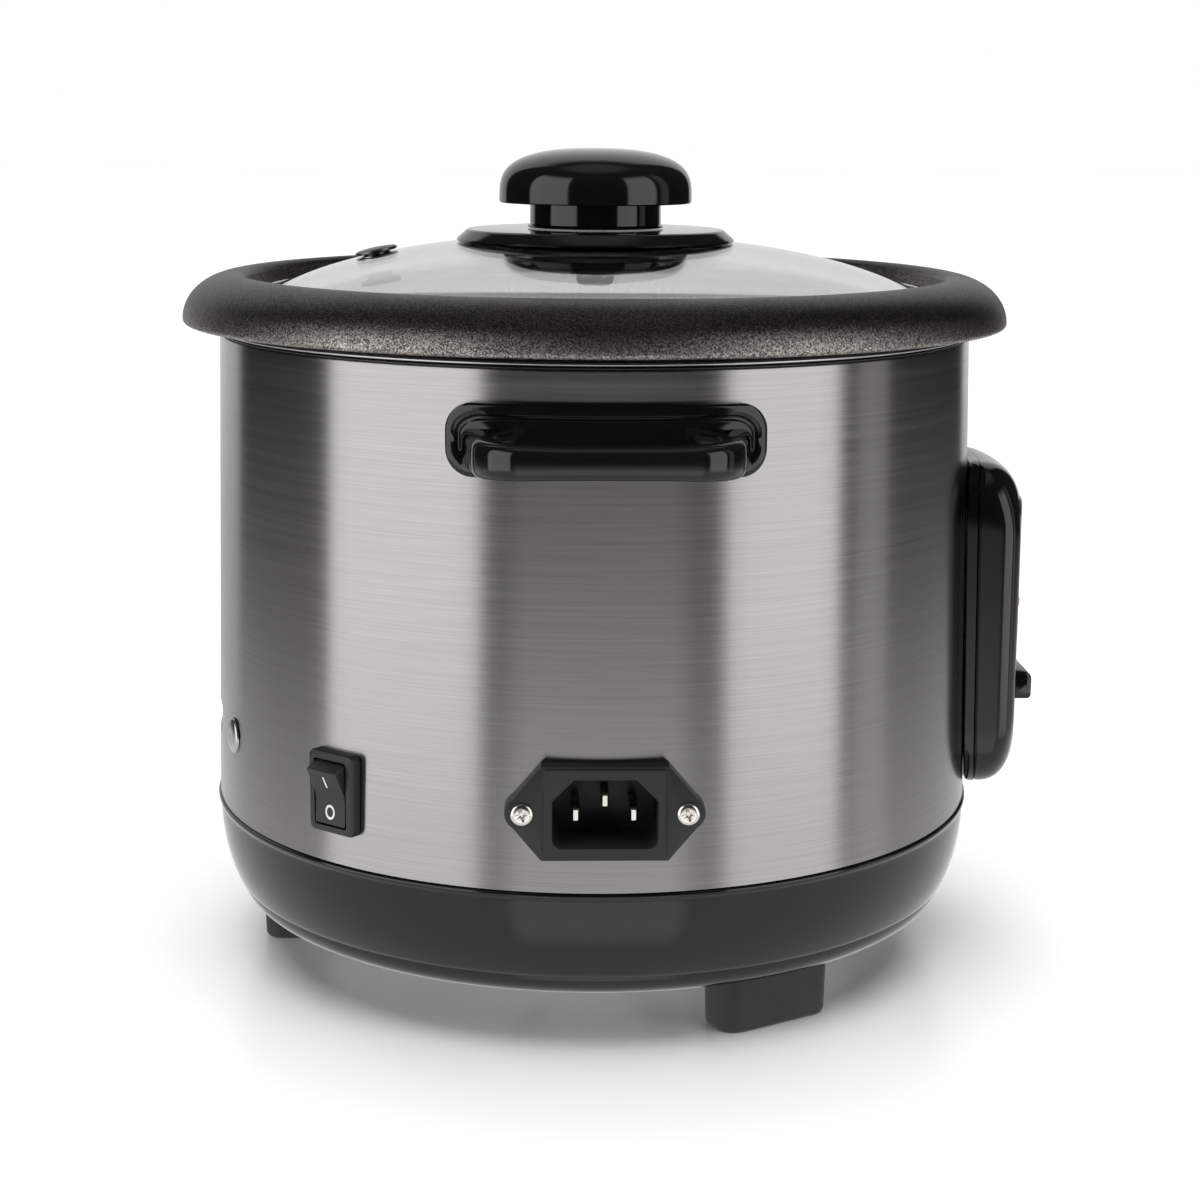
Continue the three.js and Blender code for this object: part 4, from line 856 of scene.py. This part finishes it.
outline += ellipse(POT_OUT - BEND, pot_box.lo[Z] + BEND, BEND, BEND, -90, 0, 16)
outline += [(POT_OUT, RIM_EDGE - 3.4), (POT_OUT + 0.3, RIM_EDGE - 2.9)]
outline += [(LEDGE_R + POT_WALL - 0.3, RIM_EDGE - 1), (LEDGE_R + POT_WALL, RIM_EDGE - 0.4)]
outline += [(LEDGE_R + POT_WALL, RIM_TOP - 3.4)]
outline += ellipse(CREST_R, RIM_EDGE, RIM_R - CREST_R - POT_WALL, RIM_TOP - RIM_EDGE - POT_WALL, 84, 0, 20)
outline += ellipse(RIM_R - POT_WALL / 2, RIM_EDGE, POT_WALL / 2, POT_WALL / 2, 180, 360, 8)[1:-1]
outline += ellipse(CREST_R, RIM_EDGE, RIM_R - CREST_R, RIM_TOP - RIM_EDGE, 0, 90, 34)
outline += ellipse(CREST_R, RIM_TOP - 2.5, CREST_R - LEDGE_R, 2.5, 100, 180, 8)
outline += [(LEDGE_R, RIM_EDGE + 0.5), (LEDGE_R - 0.5, RIM_EDGE), (POT_IN + 0.8, RIM_EDGE)]
outline += [(POT_IN, RIM_EDGE - 0.8)]
outline += ellipse(POT_OUT - BEND, pot_box.lo[Z] + BEND, BEND - POT_WALL, BEND - POT_WALL, 0, -90, 16)
outline += [(0, pot_box.lo[Z] + POT_WALL)]
pot = revolve("coated_pot", outline, BOWL_STEPS, 40)
stands_for(pot, M["non_stick"], "inner_pot")

# ---------------- lid
VENT_AT = GLASS_R * 0.64


def dome_line(start, end, count, drop):
    return [(r, dome_z(r) - drop) for r in (start + (end - start) * k / count for k in range(count + 1))]


outline = dome_line(4, GLASS_R - 2.4, 34, 0)
glass_z0 = GLASS_EDGE - GLASS_T
outline += [(GLASS_R - 0.7, GLASS_EDGE + 0.5), (GLASS_R, GLASS_EDGE - 0.4), (GLASS_R, glass_z0 + 0.6)]
outline += [(GLASS_R - 0.6, glass_z0), (GLASS_R - 2.6, glass_z0 + 0.1)]
outline += list(reversed(dome_line(4, GLASS_R - 5, 32, GLASS_T)))
glass_dome = revolve("glass_dome", outline, PLATE_STEPS, 40)


def upright(at_x, at_y):
    return lambda x, y, out: AXIS + Vector((at_x + x, at_y + y, out))


BORE_R = 4.2
cut(glass_dome, [loft("bore", [(circle(BORE_R), 150), (circle(BORE_R), 230)], upright(0, VENT_AT))])
stands_for(glass_dome, M["clear_glass"], "lid_glass")

BAND_R = LEDGE_R - 0.7
BAND_T = 0.6
band_z0, band_z1 = RIM_EDGE + 0.3, GLASS_EDGE + 1.2
lip_r = GLASS_R - 3.4
lip_z = dome_z(lip_r) + 0.4
inner_r = BAND_R - BAND_T
profile = [(lip_r, band_z0, 0.25), (BAND_R, band_z0, 0.9), (BAND_R, band_z1, 1.1)]
profile += [(lip_r, lip_z + BAND_T, 0.25), (lip_r, lip_z, 0.2), (inner_r, band_z1 - 0.8, 0.5)]
profile += [(inner_r, band_z0 + BAND_T, 0.5), (lip_r, band_z0 + BAND_T, 0.2)]
band = revolve("steel_rim", filleted(profile, 6), BOWL_STEPS)
stands_for(band, M["polished_steel"], "lid_rim_band")

# The steam vent is an eyelet square to the sloping glass, with a small pierced cap.
slope = math.atan((dome_z(VENT_AT + 1) - dome_z(VENT_AT - 1)) / 2)
vent_base = AXIS + Vector((0, VENT_AT, dome_z(VENT_AT)))
vent_up = Vector((0, -math.sin(slope), math.cos(slope)))
vent_side = Vector((0, math.cos(slope), math.sin(slope)))


def vent_eyelet_place(x, y, out):
    return vent_base + Vector((1, 0, 0)) * x + vent_side * y + vent_up * out


EYELET = (
    (2.2, -6.6), (5.2, -6.6), (5.6, -6.2), (5.6, -5.4), (5.2, -5.0), (3.6, -4.9), (3.6, 0.3),
    (5.4, 0.35), (5.9, 0.6), (5.8, 1.1), (5.1, 1.5), (3.2, 1.7), (2.3, 1.4),
)
rings = [(circle(r), out) for r, out in EYELET]
eyelet = loft("vent_eyelet", rings, vent_eyelet_place, caps=(False, False))
mend(eyelet.data, lambda bm: bmesh.ops.bridge_loops(bm, edges=[e for e in bm.edges if e.is_boundary]))
shade(eyelet.data, 40)
stands_for(eyelet, M["dark_steel"], "vent_grommet")

# ---------------- knob
CAP_Z0 = cap_box.lo[Z]
CAP_STEPS = 44
CAP_WIDE, CAP_TALL = 2.5, 3.3  # how square the cap's outline is, across and upwards
brow_z = CAP_Z0 + 0.9
outline = [(0, CAP_Z0 + 1.6), (CAP_R - 3, CAP_Z0 + 1.6), (CAP_R - 2.4, CAP_Z0 + 1.2), (CAP_R - 2.2, CAP_Z0)]
outline += [(CAP_R - 0.35, CAP_Z0), (CAP_R, CAP_Z0 + 0.3), (CAP_R + 0.02, brow_z)]
for k in range(CAP_STEPS):
    t = math.pi / 2 * k / CAP_STEPS
    rise = (cap_box.hi[Z] - brow_z) * math.sin(t) ** (2 / CAP_TALL)
    outline.append((CAP_R * math.cos(t) ** (2 / CAP_WIDE), brow_z + rise))
outline.append((0, cap_box.hi[Z]))
clean = [outline[0]]
for point in outline[1:]:
    if math.dist(point, clean[-1]) > 0.05:
        clean.append(point)
knob_cap = revolve("knob_top", clean, SMALL_STEPS, 40)
stands_for(knob_cap, M["gloss_black"], "knob_cap")

NECK_R = 18.1
neck_z = neck_box.lo[Z]
outline = [(0, neck_z + 0.5), (NECK_R - 2, neck_z), (NECK_R + 0.3, neck_z), (NECK_R + 0.45, neck_z + 0.25)]
outline += [(NECK_R + 0.3, neck_z + 0.6), (NECK_R - 0.15, neck_z + 0.9), (NECK_R - 0.2, neck_box.hi[Z])]
outline += [(NECK_R - 0.2, neck_box.hi[Z] + 1.6), (0, neck_box.hi[Z] + 1.6)]
neck = revolve("knob_stem", outline, SMALL_STEPS, 40)
stands_for(neck, M["gloss_black"], "knob_neck")

outline = dome_line(3, FLANGE_R - 0.7, 10, -0.35)
edge_z = dome_z(FLANGE_R) + 0.3
outline += [(FLANGE_R - 0.15, edge_z + 0.1), (FLANGE_R, edge_z + 0.45), (FLANGE_R - 0.25, edge_z + 0.95)]
outline += ellipse(FLANGE_R - 3.6, FLANGE_Z1 - 1.4, 1.5, 1.25, 25, 90, 7)
outline += [(NECK_R + 3, FLANGE_Z1), (3, FLANGE_Z1)]
flange = revolve("knob_skirt", outline, 160, 40)
stands_for(flange, M["gloss_black"], "knob_flange")

washer_box = Box("knob_washer")
WASHER_R = washer_box.size[X] / 2
under = washer_box.lo[Z] - 0.6
outline = dome_line(3.2, WASHER_R - 0.4, 8, GLASS_T + 0.35)
outline += [(WASHER_R, dome_z(WASHER_R) - GLASS_T - 0.8)]
outline += ellipse(WASHER_R - 6, under + 2.4, 5.6, 2.4, -8, -90, 10)
outline += [(7, under), (6.2, under - 0.3), (3.2, under - 0.3)]
washer = revolve("lid_washer", outline, SMALL_STEPS, 40)
stands_for(washer, M["gloss_black"], "knob_washer")


def down_place(x, y, out):
    return AXIS + Vector((x, -y, under - 0.45 - out))


phillips("knob_screw_head", down_place, *KNOB_SCREW, M["plain_steel"], "knob_screw")

# ---------------- side handles
GRIP_Z = HANDLE_Z - 1.9
PLATE_H = 17.6
PLATE_RINGS = (
    (0.4, 0.25), (0.05, 0.5), (0, 1.0), (0, 2.3), (0.15, 2.75), (0.6, 3.05), (1.2, 3.15), (2.5, 3.15),
    (2.75, 2.95), (3.0, 2.5), (3.3, 2.4), (3.6, 2.5), (3.9, 2.9), (4.3, 3.05),
)
ROOT_X, ROOT_OUT = HANDLE_W / 2 - 6, wall_r(HANDLE_Z) * 0.93
GRIP_X, GRIP_OUT = HANDLE_W / 2 - 11.2, HANDLE_OUT - 4.25
LOOP_BEND, LOOP_STEP = 9.5, 1.6


def even(path, step):
    """Resamples an open path at an even spacing."""
    lengths = [0]
    for a, b in zip(path, path[1:]):
        lengths.append(lengths[-1] + math.dist(a, b))
    count = max(2, round(lengths[-1] / step))
    out, i = [], 0
    for k in range(count + 1):
        want = lengths[-1] * k / count
        while i < len(lengths) - 2 and lengths[i + 1] < want:
            i += 1
        f = (want - lengths[i]) / max(1e-9, lengths[i + 1] - lengths[i])
        out.append(tuple(a + (b - a) * f for a, b in zip(path[i], path[i + 1])))
    return out


def squircle(half_w, half_h, power, count=36):
    pts = []
    for k in range(count):
        t = 2 * math.pi * (k + 0.5) / count
        c, s = math.cos(t), math.sin(t)
        x = math.copysign(abs(c) ** (2 / power), c) * half_w
        y = math.copysign(abs(s) ** (2 / power), s) * half_h
        pts.append((x, y))
    return pts


def loop_section(t):
    """The loop's section, which is wider and lower along the grip than at the roots."""
    grip = min(1, max(0, 1 - abs(t - 0.5) * 2 / 0.62) ** 0.5 * 1.25)
    return squircle(3.1 + 1.15 * grip, 4.7 - 0.75 * grip, 3.4)


plate_outline = densify(rounded_rect(HANDLE_W, PLATE_H, 6.5, 8), 2.5)
loop_path = [(-ROOT_X, ROOT_OUT), (-GRIP_X, GRIP_OUT), (GRIP_X, GRIP_OUT), (ROOT_X, ROOT_OUT)]
loop_path = even(bent(loop_path, LOOP_BEND), LOOP_STEP)
for side, bearing in (("left", LEFT), ("right", RIGHT)):
    rings = [(shrunk(plate_outline, HANDLE_W, PLATE_H, i, i), out) for i, out in PLATE_RINGS]
    mount = loft("handle_plate_" + side, rings, curve_place(bearing, HANDLE_Z), smooth=60)
    loop = sweep("handle_loop", loop_path, loop_section, flat_place(bearing, GRIP_Z), smooth=60)
    handle = union(mount, [loop])
    handle.name = "handle_moulding_" + side
    stands_for(handle, M["gloss_black"], "handle_" + side)

# ---------------- mains inlet
INLET_FACE = SEAM_R + 2.8
SOCKET_W, SOCKET_H, SOCKET_DEEP, CHAMFER = 25.2, 16.8, 16.5, 5.2
BLOCK_W, BLOCK_H = 29.7, 22.3
EAR_X, EAR_R = 20, 4.2
inlet_place = flat_place(LEFT, INLET_Z)


def ear_outline(grow):
    y = BLOCK_H / 2 + 0.7 + grow
    x = BLOCK_W / 2 + 0.5
    pts = []
    for side in (1, -1):
        pts.append((side * x, side * -y))
        for k in range(13):
            t = math.radians(-58 + 116 * k / 12)
            r = EAR_R + grow
            pts.append((side * (EAR_X + r * math.cos(t)), side * r * math.sin(t)))
        pts.append((side * x, side * y))
    return pts


EAR_RINGS = ((-0.1, -7.2), (0, -7.0), (0, -0.45), (-0.12, -0.12), (-0.45, 0))
rings = [(ear_outline(grow), INLET_FACE + out) for grow, out in EAR_RINGS]
housing = loft("inlet_moulding", rings, inlet_place, smooth=38)


def drum_plug(margin):
    """The drum's own taper as a solid, for trimming what lies against the wall."""
    low, high = SHELL_Z0 - 10, SHELL_Z1 + 10
    wall_line = ladder((wall_r(low) + margin, low), (wall_r(high) + margin, high), 12)
    return revolve("plug", [(0, low), *wall_line, (0, high)], DRUM_STEPS)


TRIM_GAP = 0.15
cut(housing, [drum_plug(TRIM_GAP)])
block_outline = rounded_rect(BLOCK_W, BLOCK_H, 0.8, 4)
rings = [(block_outline, INLET_FACE - 16), (block_outline, INLET_FRONT - 0.3)]
rings.append((rounded_rect(BLOCK_W - 0.5, BLOCK_H - 0.5, 0.7, 4), INLET_FRONT))
union(housing, [loft("inlet_block", rings, inlet_place, smooth=38)])
SX, SY = SOCKET_W / 2, SOCKET_H / 2
corners = [(-SX, -SY, 2.4), (SX, -SY, 2.4), (SX, SY - CHAMFER, 0.5), (SX - CHAMFER, SY, 0.5)]
corners += [(-SX + CHAMFER, SY, 0.5), (-SX, SY - CHAMFER, 0.5)]
socket_outline = filleted(corners)
mouth = [(x * 1.02, y * 1.03) for x, y in socket_outline]
SOCKET_BACK = INLET_FRONT - SOCKET_DEEP
rings = [(socket_outline, SOCKET_BACK), (socket_outline, INLET_FRONT - 0.45)]
rings += [(mouth, INLET_FRONT + 0.1), (mouth, INLET_FRONT + 3)]
cut(housing, [loft("socket", rings, inlet_place)])
stands_for(housing, M["satin_black"], "inlet_housing")

# Each pin's width and height from root to tip, then its place and how far its tip stays behind the front.
PIN_SIZES = ((2, 4), (2, 4), (1.7, 3.5), (1.1, 2.6))
PINS = {"live": (-7, -1.2, 3.6), "earth": (0, 2.8, 2.2), "neutral": (7, -1.2, 3.6)}
for pin_name, (px, py, tip) in PINS.items():
    def pin_place(x, y, out, px=px, py=py):
        return inlet_place(px + x, py + y, out)

    tip_out = INLET_FRONT - tip
    rings = []
    for (w, h), out in zip(PIN_SIZES, (SOCKET_BACK - 7, tip_out - 1.3, tip_out - 0.5, tip_out)):
        rings.append((rounded_rect(w, h, 0.25, 3), out))
    pin = loft("pin_" + pin_name, rings, pin_place, smooth=30)
    stands_for(pin, M["nickel"], "inlet_pin_" + pin_name)
for screw_name, side in (("front", 1), ("rear", -1)):
    def screw_place(x, y, out, side=side):
        return inlet_place(side * EAR_X + x, y, INLET_FACE + 0.02 + out)

    node = "inlet_screw_" + screw_name
    phillips("inlet_screw_head_" + screw_name, screw_place, *INLET_SCREW, M["nickel"], node)

# ---------------- power switch
SWITCH_FACE = SEAM_R + 2.4
switch_place = flat_place(SWITCH_B, SWITCH_Z)
BEZEL_W, BEZEL_H = 15, 21
BEZEL_RINGS = (
    (0, 94), (0, SWITCH_FACE - 1.0), (0.2, SWITCH_FACE - 0.45), (1.0, SWITCH_FACE - 0.05), (1.4, SWITCH_FACE),
)
ROCKER_W, ROCKER_R = 10, 8.2
rings = []
for inset, out in BEZEL_RINGS:
    rings.append((rounded_rect(BEZEL_W - inset * 2, BEZEL_H - inset * 2, 1.7 - inset * 0.5, 6), out))
bezel = loft("switch_bezel", rings, switch_place, smooth=35)
cut(bezel, [drum_plug(TRIM_GAP)])
depth = (SWITCH_FACE - 17, SWITCH_FACE - 1.4)
union(bezel, [box_cutter("shaft", SWITCH_B, SWITCH_Z, 12.8, 19.2, *depth, 0.8)])
well_w, well_h = ROCKER_W + 0.8, ROCKER_R * 2 + 0.8
cut(bezel, [box_cutter("well", SWITCH_B, SWITCH_Z, well_w, well_h, SWITCH_FACE - 11, SWITCH_FACE + 4, 0.6)])
stands_for(bezel, M["satin_black"], "switch_frame")

PIVOT_OUT = SWITCH_FACE - 1.8
TILT = 12
HALF_FACE = 25.5
edge_out = ROCKER_R * math.sin(math.radians(HALF_FACE))
edge_up = ROCKER_R * math.cos(math.radians(HALF_FACE))


def rocker_frame(x, along, out):
    """Rocker's own frame: along runs up its face and out leaves it, turned by its tilt."""
    t = math.radians(TILT)
    up = along * math.cos(t) - out * math.sin(t)
    away = along * math.sin(t) + out * math.cos(t)
    return switch_place(x, up, PIVOT_OUT + away)


MIDDLE_OUT = 1.9
SOFTEN, SOFT_ROOT = 0.02, 0.141


def rocker_face(along):
    """Out of the pivot of the shallow V-shaped face, softened in the middle."""
    s = abs(along) / edge_up
    rise = (math.sqrt(s * s + SOFTEN) - SOFT_ROOT) / (math.sqrt(1 + SOFTEN) - SOFT_ROOT)
    return MIDDLE_OUT + (edge_out - MIDDLE_OUT) * rise


FACE_STEPS, BACK_STEPS = 26, 17
outline = []
for k in range(FACE_STEPS + 1):
    a = edge_up - 2 * edge_up * k / FACE_STEPS
    outline.append((a, rocker_face(a)))
for k in range(1, BACK_STEPS):
    swing = math.radians(-HALF_FACE + (180 + 2 * HALF_FACE) * k / BACK_STEPS)
    outline.append((-ROCKER_R * math.cos(swing), -ROCKER_R * math.sin(swing)))
half = ROCKER_W / 2
levels = [(-half, 0.35), (-half + 0.12, 0.12), (-half + 0.4, 0)]
levels += [(-x, shrink) for x, shrink in reversed(levels)]
rings = []
for x, shrink in levels:
    scale = 1 - shrink / ROCKER_R
    rings.append([rocker_frame(x, a * scale, o * scale) for a, o in outline])
rocker = skin("rocker_paddle", rings, 35)
stands_for(rocker, M["satin_black"], "switch_rocker")


def on_rocker(name, points):
    """A thin raised mark on the rocker's face, from a closed strip of (x, along) pairs."""
    verts = []
    for lift in (-0.05, 0.07):
        verts += [tuple(rocker_frame(x, a, rocker_face(a) + lift)) for pair in points for x, a in pair]
    n = len(points) * 2
    faces = []
    for i in range(len(points) - 1):
        a, b, c, d = 2 * i, 2 * i + 1, 2 * i + 3, 2 * i + 2
        faces += [(a, b, c, d), (n + a, n + d, n + c, n + b), (a, d, n + d, n + a), (b, n + b, n + c, c)]
    if points[0] != points[-1]:
        last = n - 2
        faces += [(0, n, n + 1, 1), (last, last + 1, n + last + 1, n + last)]
    mark = new_object(name, verts, faces, 60)
    mend(mark.data, lambda bm: bmesh.ops.remove_doubles(bm, verts=bm.verts, dist=TINY))
    return detail(mark, WHITE_INK, "switch_rocker")


on_rocker("mark_line", [[(-0.24, a), (0.24, a)] for a in (2.3, 3.4, 4.5, 5.6)])
MARK_OFF = -4.3
ring_pts = [[(x * 0.86, MARK_OFF + y) for x, y in pair] for pair in zip(circle(1.25, 32), circle(1.85, 32))]
on_rocker("mark_ring", ring_pts + ring_pts[:1])

# ---------------- scoop-holder mount on the back
RIVET_R = 4.8
RIVET_DOME = ((1.0, 0.05), (1.0, 0.35), (0.94, 0.7), (0.78, 1.0), (0.5, 1.15))
wall_here = wall_r(HOLDER_Z)
for rivet_name, bearing in (("right", 67.6), ("left", 112.4)):
    rings = [(circle(RIVET_R * f), wall_here + h) for f, h in RIVET_DOME]
    rivet = loft("rivet_" + rivet_name, rings, flat_place(bearing, HOLDER_Z), smooth=50)
    stands_for(rivet, M["plain_steel"], "holder_rivet_" + rivet_name)

# ---------------- control panel
BASE_RING = 3.4
EDGE_V, EDGE_H = 13, 8
PANEL_LEAN = 0.1  # by how much of its thickness the panel thins towards its foot
PANEL_CORNER, FACE_CORNER = 14, 4


def panel_place(x, y, out):
    lean = 1 - PANEL_LEAN * max(0, min(1, 0.5 - y / PANEL_H))
    a = math.radians(FRONT) + x / PANEL_FACE
    r = wall_r(PANEL_Z + y) + out * lean
    return AXIS + Vector((r * math.cos(a), r * math.sin(a), PANEL_Z + y))


FACE_OUT = PANEL_FACE - wall_r(PANEL_Z)
panel_outline = densify(rounded_rect(PANEL_W, PANEL_H, PANEL_CORNER, 10), 3)


def panel_ring(inset_x, inset_y, out):
    return shrunk(panel_outline, PANEL_W, PANEL_H, inset_x, inset_y), out


rings = [panel_ring(0.5, 1.4, 0.2), panel_ring(0, 0.5, 0.7), panel_ring(0, 0.1, 1.6)]
rings += [panel_ring(0, 0.15, BASE_RING - 0.1), panel_ring(0.4, 0.5, BASE_RING)]
ring_base = loft("panel_ring", rings, panel_place)
rings = [panel_ring(0.45, 0.6, BASE_RING + 0.05), panel_ring(0.1, 0.35, BASE_RING + 0.25)]
EDGE_STEPS = 16
edge_out0 = BASE_RING + 0.5
for k in range(EDGE_STEPS + 1):
    t = math.pi / 2 * k / EDGE_STEPS
    inward = 1 - math.cos(t)
    out = edge_out0 + (FACE_OUT - edge_out0) * math.sin(t)
    rings.append(panel_ring(EDGE_H * inward ** 1.25, 0.3 + EDGE_V * inward ** 1.15, out))
shell_cover = loft("panel_moulding", rings, panel_place, smooth=50)
SLOT_W = TIP_W + 1.2
slot_top = TIP_Z + TIP_H / 2 + 0.6
slot_bottom = TIP_Z - TIP_H / 2 - 7.4
slot_mid = (slot_top + slot_bottom) / 2
slot_h = slot_top - slot_bottom
cut(ring_base, [box_cutter("slot", FRONT, slot_mid, SLOT_W, slot_h, 90, 130, 2)])
cut(shell_cover, [box_cutter("slot", FRONT, slot_mid, SLOT_W, slot_h, 104, 130, 2, 8)])
stands_for(ring_base, M["gloss_black"], "panel_base")
stands_for(shell_cover, M["gloss_black"], "panel_cover")

face_w, face_h = face_box.size[X], face_box.size[Z]
face_outline = densify(rounded_rect(face_w, face_h, FACE_CORNER, 8), 2.5)


def face_place(x, y, out):
    return panel_place(x, FACE_Z - PANEL_Z + y, out)


face_rings = [(face_outline, FACE_OUT - 0.6), (face_outline, FACE_OUT + 0.02)]
face_rings.append(([(x * 0.985, y * 0.985) for x, y in face_outline], FACE_OUT + 0.12))
label = loft("panel_label", face_rings, face_place, smooth=40)
stands_for(label, M["face_silver"], "panel_face")
LAMP_R = 2.6
LAMP_DOME = ((1, -6), (1, -1.2), (0.96, -0.7), (0.82, -0.3), (0.55, -0.06), (0.25, 0))
for lamp_name, node, material in (("cook", "cook_light", "red_lens"), ("warm", "warm_light", "amber_lens")):
    lamp_box = Box(node)
    rings = [(circle(LAMP_R * f, 32), AY - lamp_box.lo[Y] + h) for f, h in LAMP_DOME]

    def lamp_place(x, y, out, box=lamp_box):
        return on_wall(FRONT, box.mid[Z], box.mid[X] - AX + x, y, out)

    lamp = loft("lens_" + lamp_name, rings, lamp_place, smooth=50)
    stands_for(lamp, M[material], node)

# The cook lever's tip: a thumb piece with a rounded top edge.
half, root = TIP_H / 2, AY - tip_box.hi[Y]
profile = [(root, -half, 0.4), (TIP_OUT, -half, 1.2), (TIP_OUT, half - 0.6, 3.4)]
profile = filleted(profile + [(TIP_OUT - 4.2, half, 2.2), (root, half, 0.4)], 7)
TIP_LEVELS = ((-1, 0.8), (-0.97, 0.25), (-0.9, 0), (0.9, 0), (0.97, 0.25), (1, 0.8))
mid_out = sum(p[0] for p in profile) / len(profile)
rings = []
for x, shrink in TIP_LEVELS:
    fo, fz = 1 - shrink / 8, 1 - shrink / half
    ring = [on_wall(FRONT, TIP_Z, x * TIP_W / 2, z * fz, mid_out + (o - mid_out) * fo) for o, z in profile]
    rings.append(ring)
thumb = skin("thumb_piece", rings, 40)
stands_for(thumb, M["gloss_black"], "cook_button")

# ---------------- carried-over CAD nodes
for node, obj in frame["nodes"].items():
    obj.data.materials.clear()
    obj.data.materials.append(M[SLOT_OF[node]])

# ---------------- stage and light
FLOOR_HALF = 9
corners = [(-FLOOR_HALF, -FLOOR_HALF, 0), (FLOOR_HALF, -FLOOR_HALF, 0), (FLOOR_HALF, FLOOR_HALF, 0)]
floor_mesh = bpy.data.meshes.new("floor")
floor_mesh.from_pydata(corners + [(-FLOOR_HALF, FLOOR_HALF, 0)], [], [(0, 1, 2, 3)])
floor = bpy.data.objects.new("floor", floor_mesh)
scene.collection.objects.link(floor)
floor_mesh.materials.append(Look("floor", (0.93, 0.93, 0.93), 0.22, Specular_IOR_Level=0.35).material)
floor.visible_glossy = False


class Studio(Graph):
    """The world: a white backdrop, and round it the room that the object's surfaces reflect."""

    def __init__(self):
        scene.world = bpy.data.worlds.new("studio")
        super().__init__(scene.world)

    def math(self, operation, *inputs):
        return self.node("ShaderNodeMath", dict(enumerate(inputs)), operation=operation).outputs[0]

    def step(self, value, start, end):
        """Rises smoothly from 0 to 1 as value goes from start to end, in degrees."""
        inputs = {"From Min": start, "From Max": end, "Value": value}
        return self.node("ShaderNodeMapRange", inputs, interpolation_type="SMOOTHSTEP").outputs["Result"]

    def panel(self, around, height, left, right, low, high, soft, glow):
        """A glowing panel between two bearings and two heights."""
        a = self.math("MULTIPLY", self.step(around, left - soft, left + soft),
                      self.step(around, right + soft, right - soft))
        b = self.math("MULTIPLY", self.step(height, low - 6, low + 6), self.step(height, high + 8, high - 8))
        return self.math("MULTIPLY", self.math("MULTIPLY", a, b), glow)

    def build(self):
        ray = self.node("ShaderNodeTexCoord").outputs["Generated"]
        c, s, _ = heading(VIEW_BEARING)
        x, y, z = self.node("ShaderNodeSeparateXYZ", {0: ray}).outputs
        near = self.math("ADD", self.math("MULTIPLY", x, c), self.math("MULTIPLY", y, s))
        side = self.math("SUBTRACT", self.math("MULTIPLY", y, c), self.math("MULTIPLY", x, s))
        around = self.math("DEGREES", self.math("ARCTAN2", side, near))
        height = self.math("DEGREES", self.math("ARCSINE", z))
        glows = [
            self.math("MULTIPLY", self.step(height, *TABLE_FADE), TABLE_GLOW),
            *(self.panel(around, height, *panel) for panel in PANELS),
            self.math("MULTIPLY", self.step(height, *OVERHEAD_FADE), OVERHEAD_GLOW),
        ]
        total = ROOM_GLOW
        for glow in glows:
            total = self.math("ADD", glow, total)
        room = self.node("ShaderNodeBackground", {"Color": WHITE, "Strength": total})
        white = self.node("ShaderNodeBackground", {"Color": WHITE})
        seen = self.node("ShaderNodeLightPath").outputs["Is Camera Ray"]
        mix = self.node("ShaderNodeMixShader", {0: seen, 1: room.outputs[0], 2: white.outputs[0]})
        self.node("ShaderNodeOutputWorld", {0: mix.outputs[0]})


# Bearings are degrees to the right of the camera's direction, heights degrees above the horizon.
WHITE = (1, 1, 1, 1)
ROOM_GLOW = 0.025
TABLE_FADE, TABLE_GLOW = (-6, -19), 0.9
PANELS = (
    (-84, -33, -16, 42, 2, 2.15),
    (39, 77, -16, 42, 2, 2.0),
    (84, 97, -16, 42, 1, 0.45),
    (-24, 28, -40, -11, 3, 0.6),
    (-190, -134, -10, 55, 3, 0.8),
    (150, 190, -10, 55, 3, 0.8),
)
OVERHEAD_FADE, OVERHEAD_GLOW = (62, 78), 0.35
Studio().build()
scene.view_settings.view_transform = "Standard"

SUN_ENERGY, SUN_SPREAD = 3.6, 70
sun_data = bpy.data.lights.new("overhead", "SUN")
sun_data.energy = SUN_ENERGY
sun_data.angle = math.radians(SUN_SPREAD)
sun = bpy.data.objects.new("overhead", sun_data)
sun.visible_glossy = False
scene.collection.objects.link(sun)
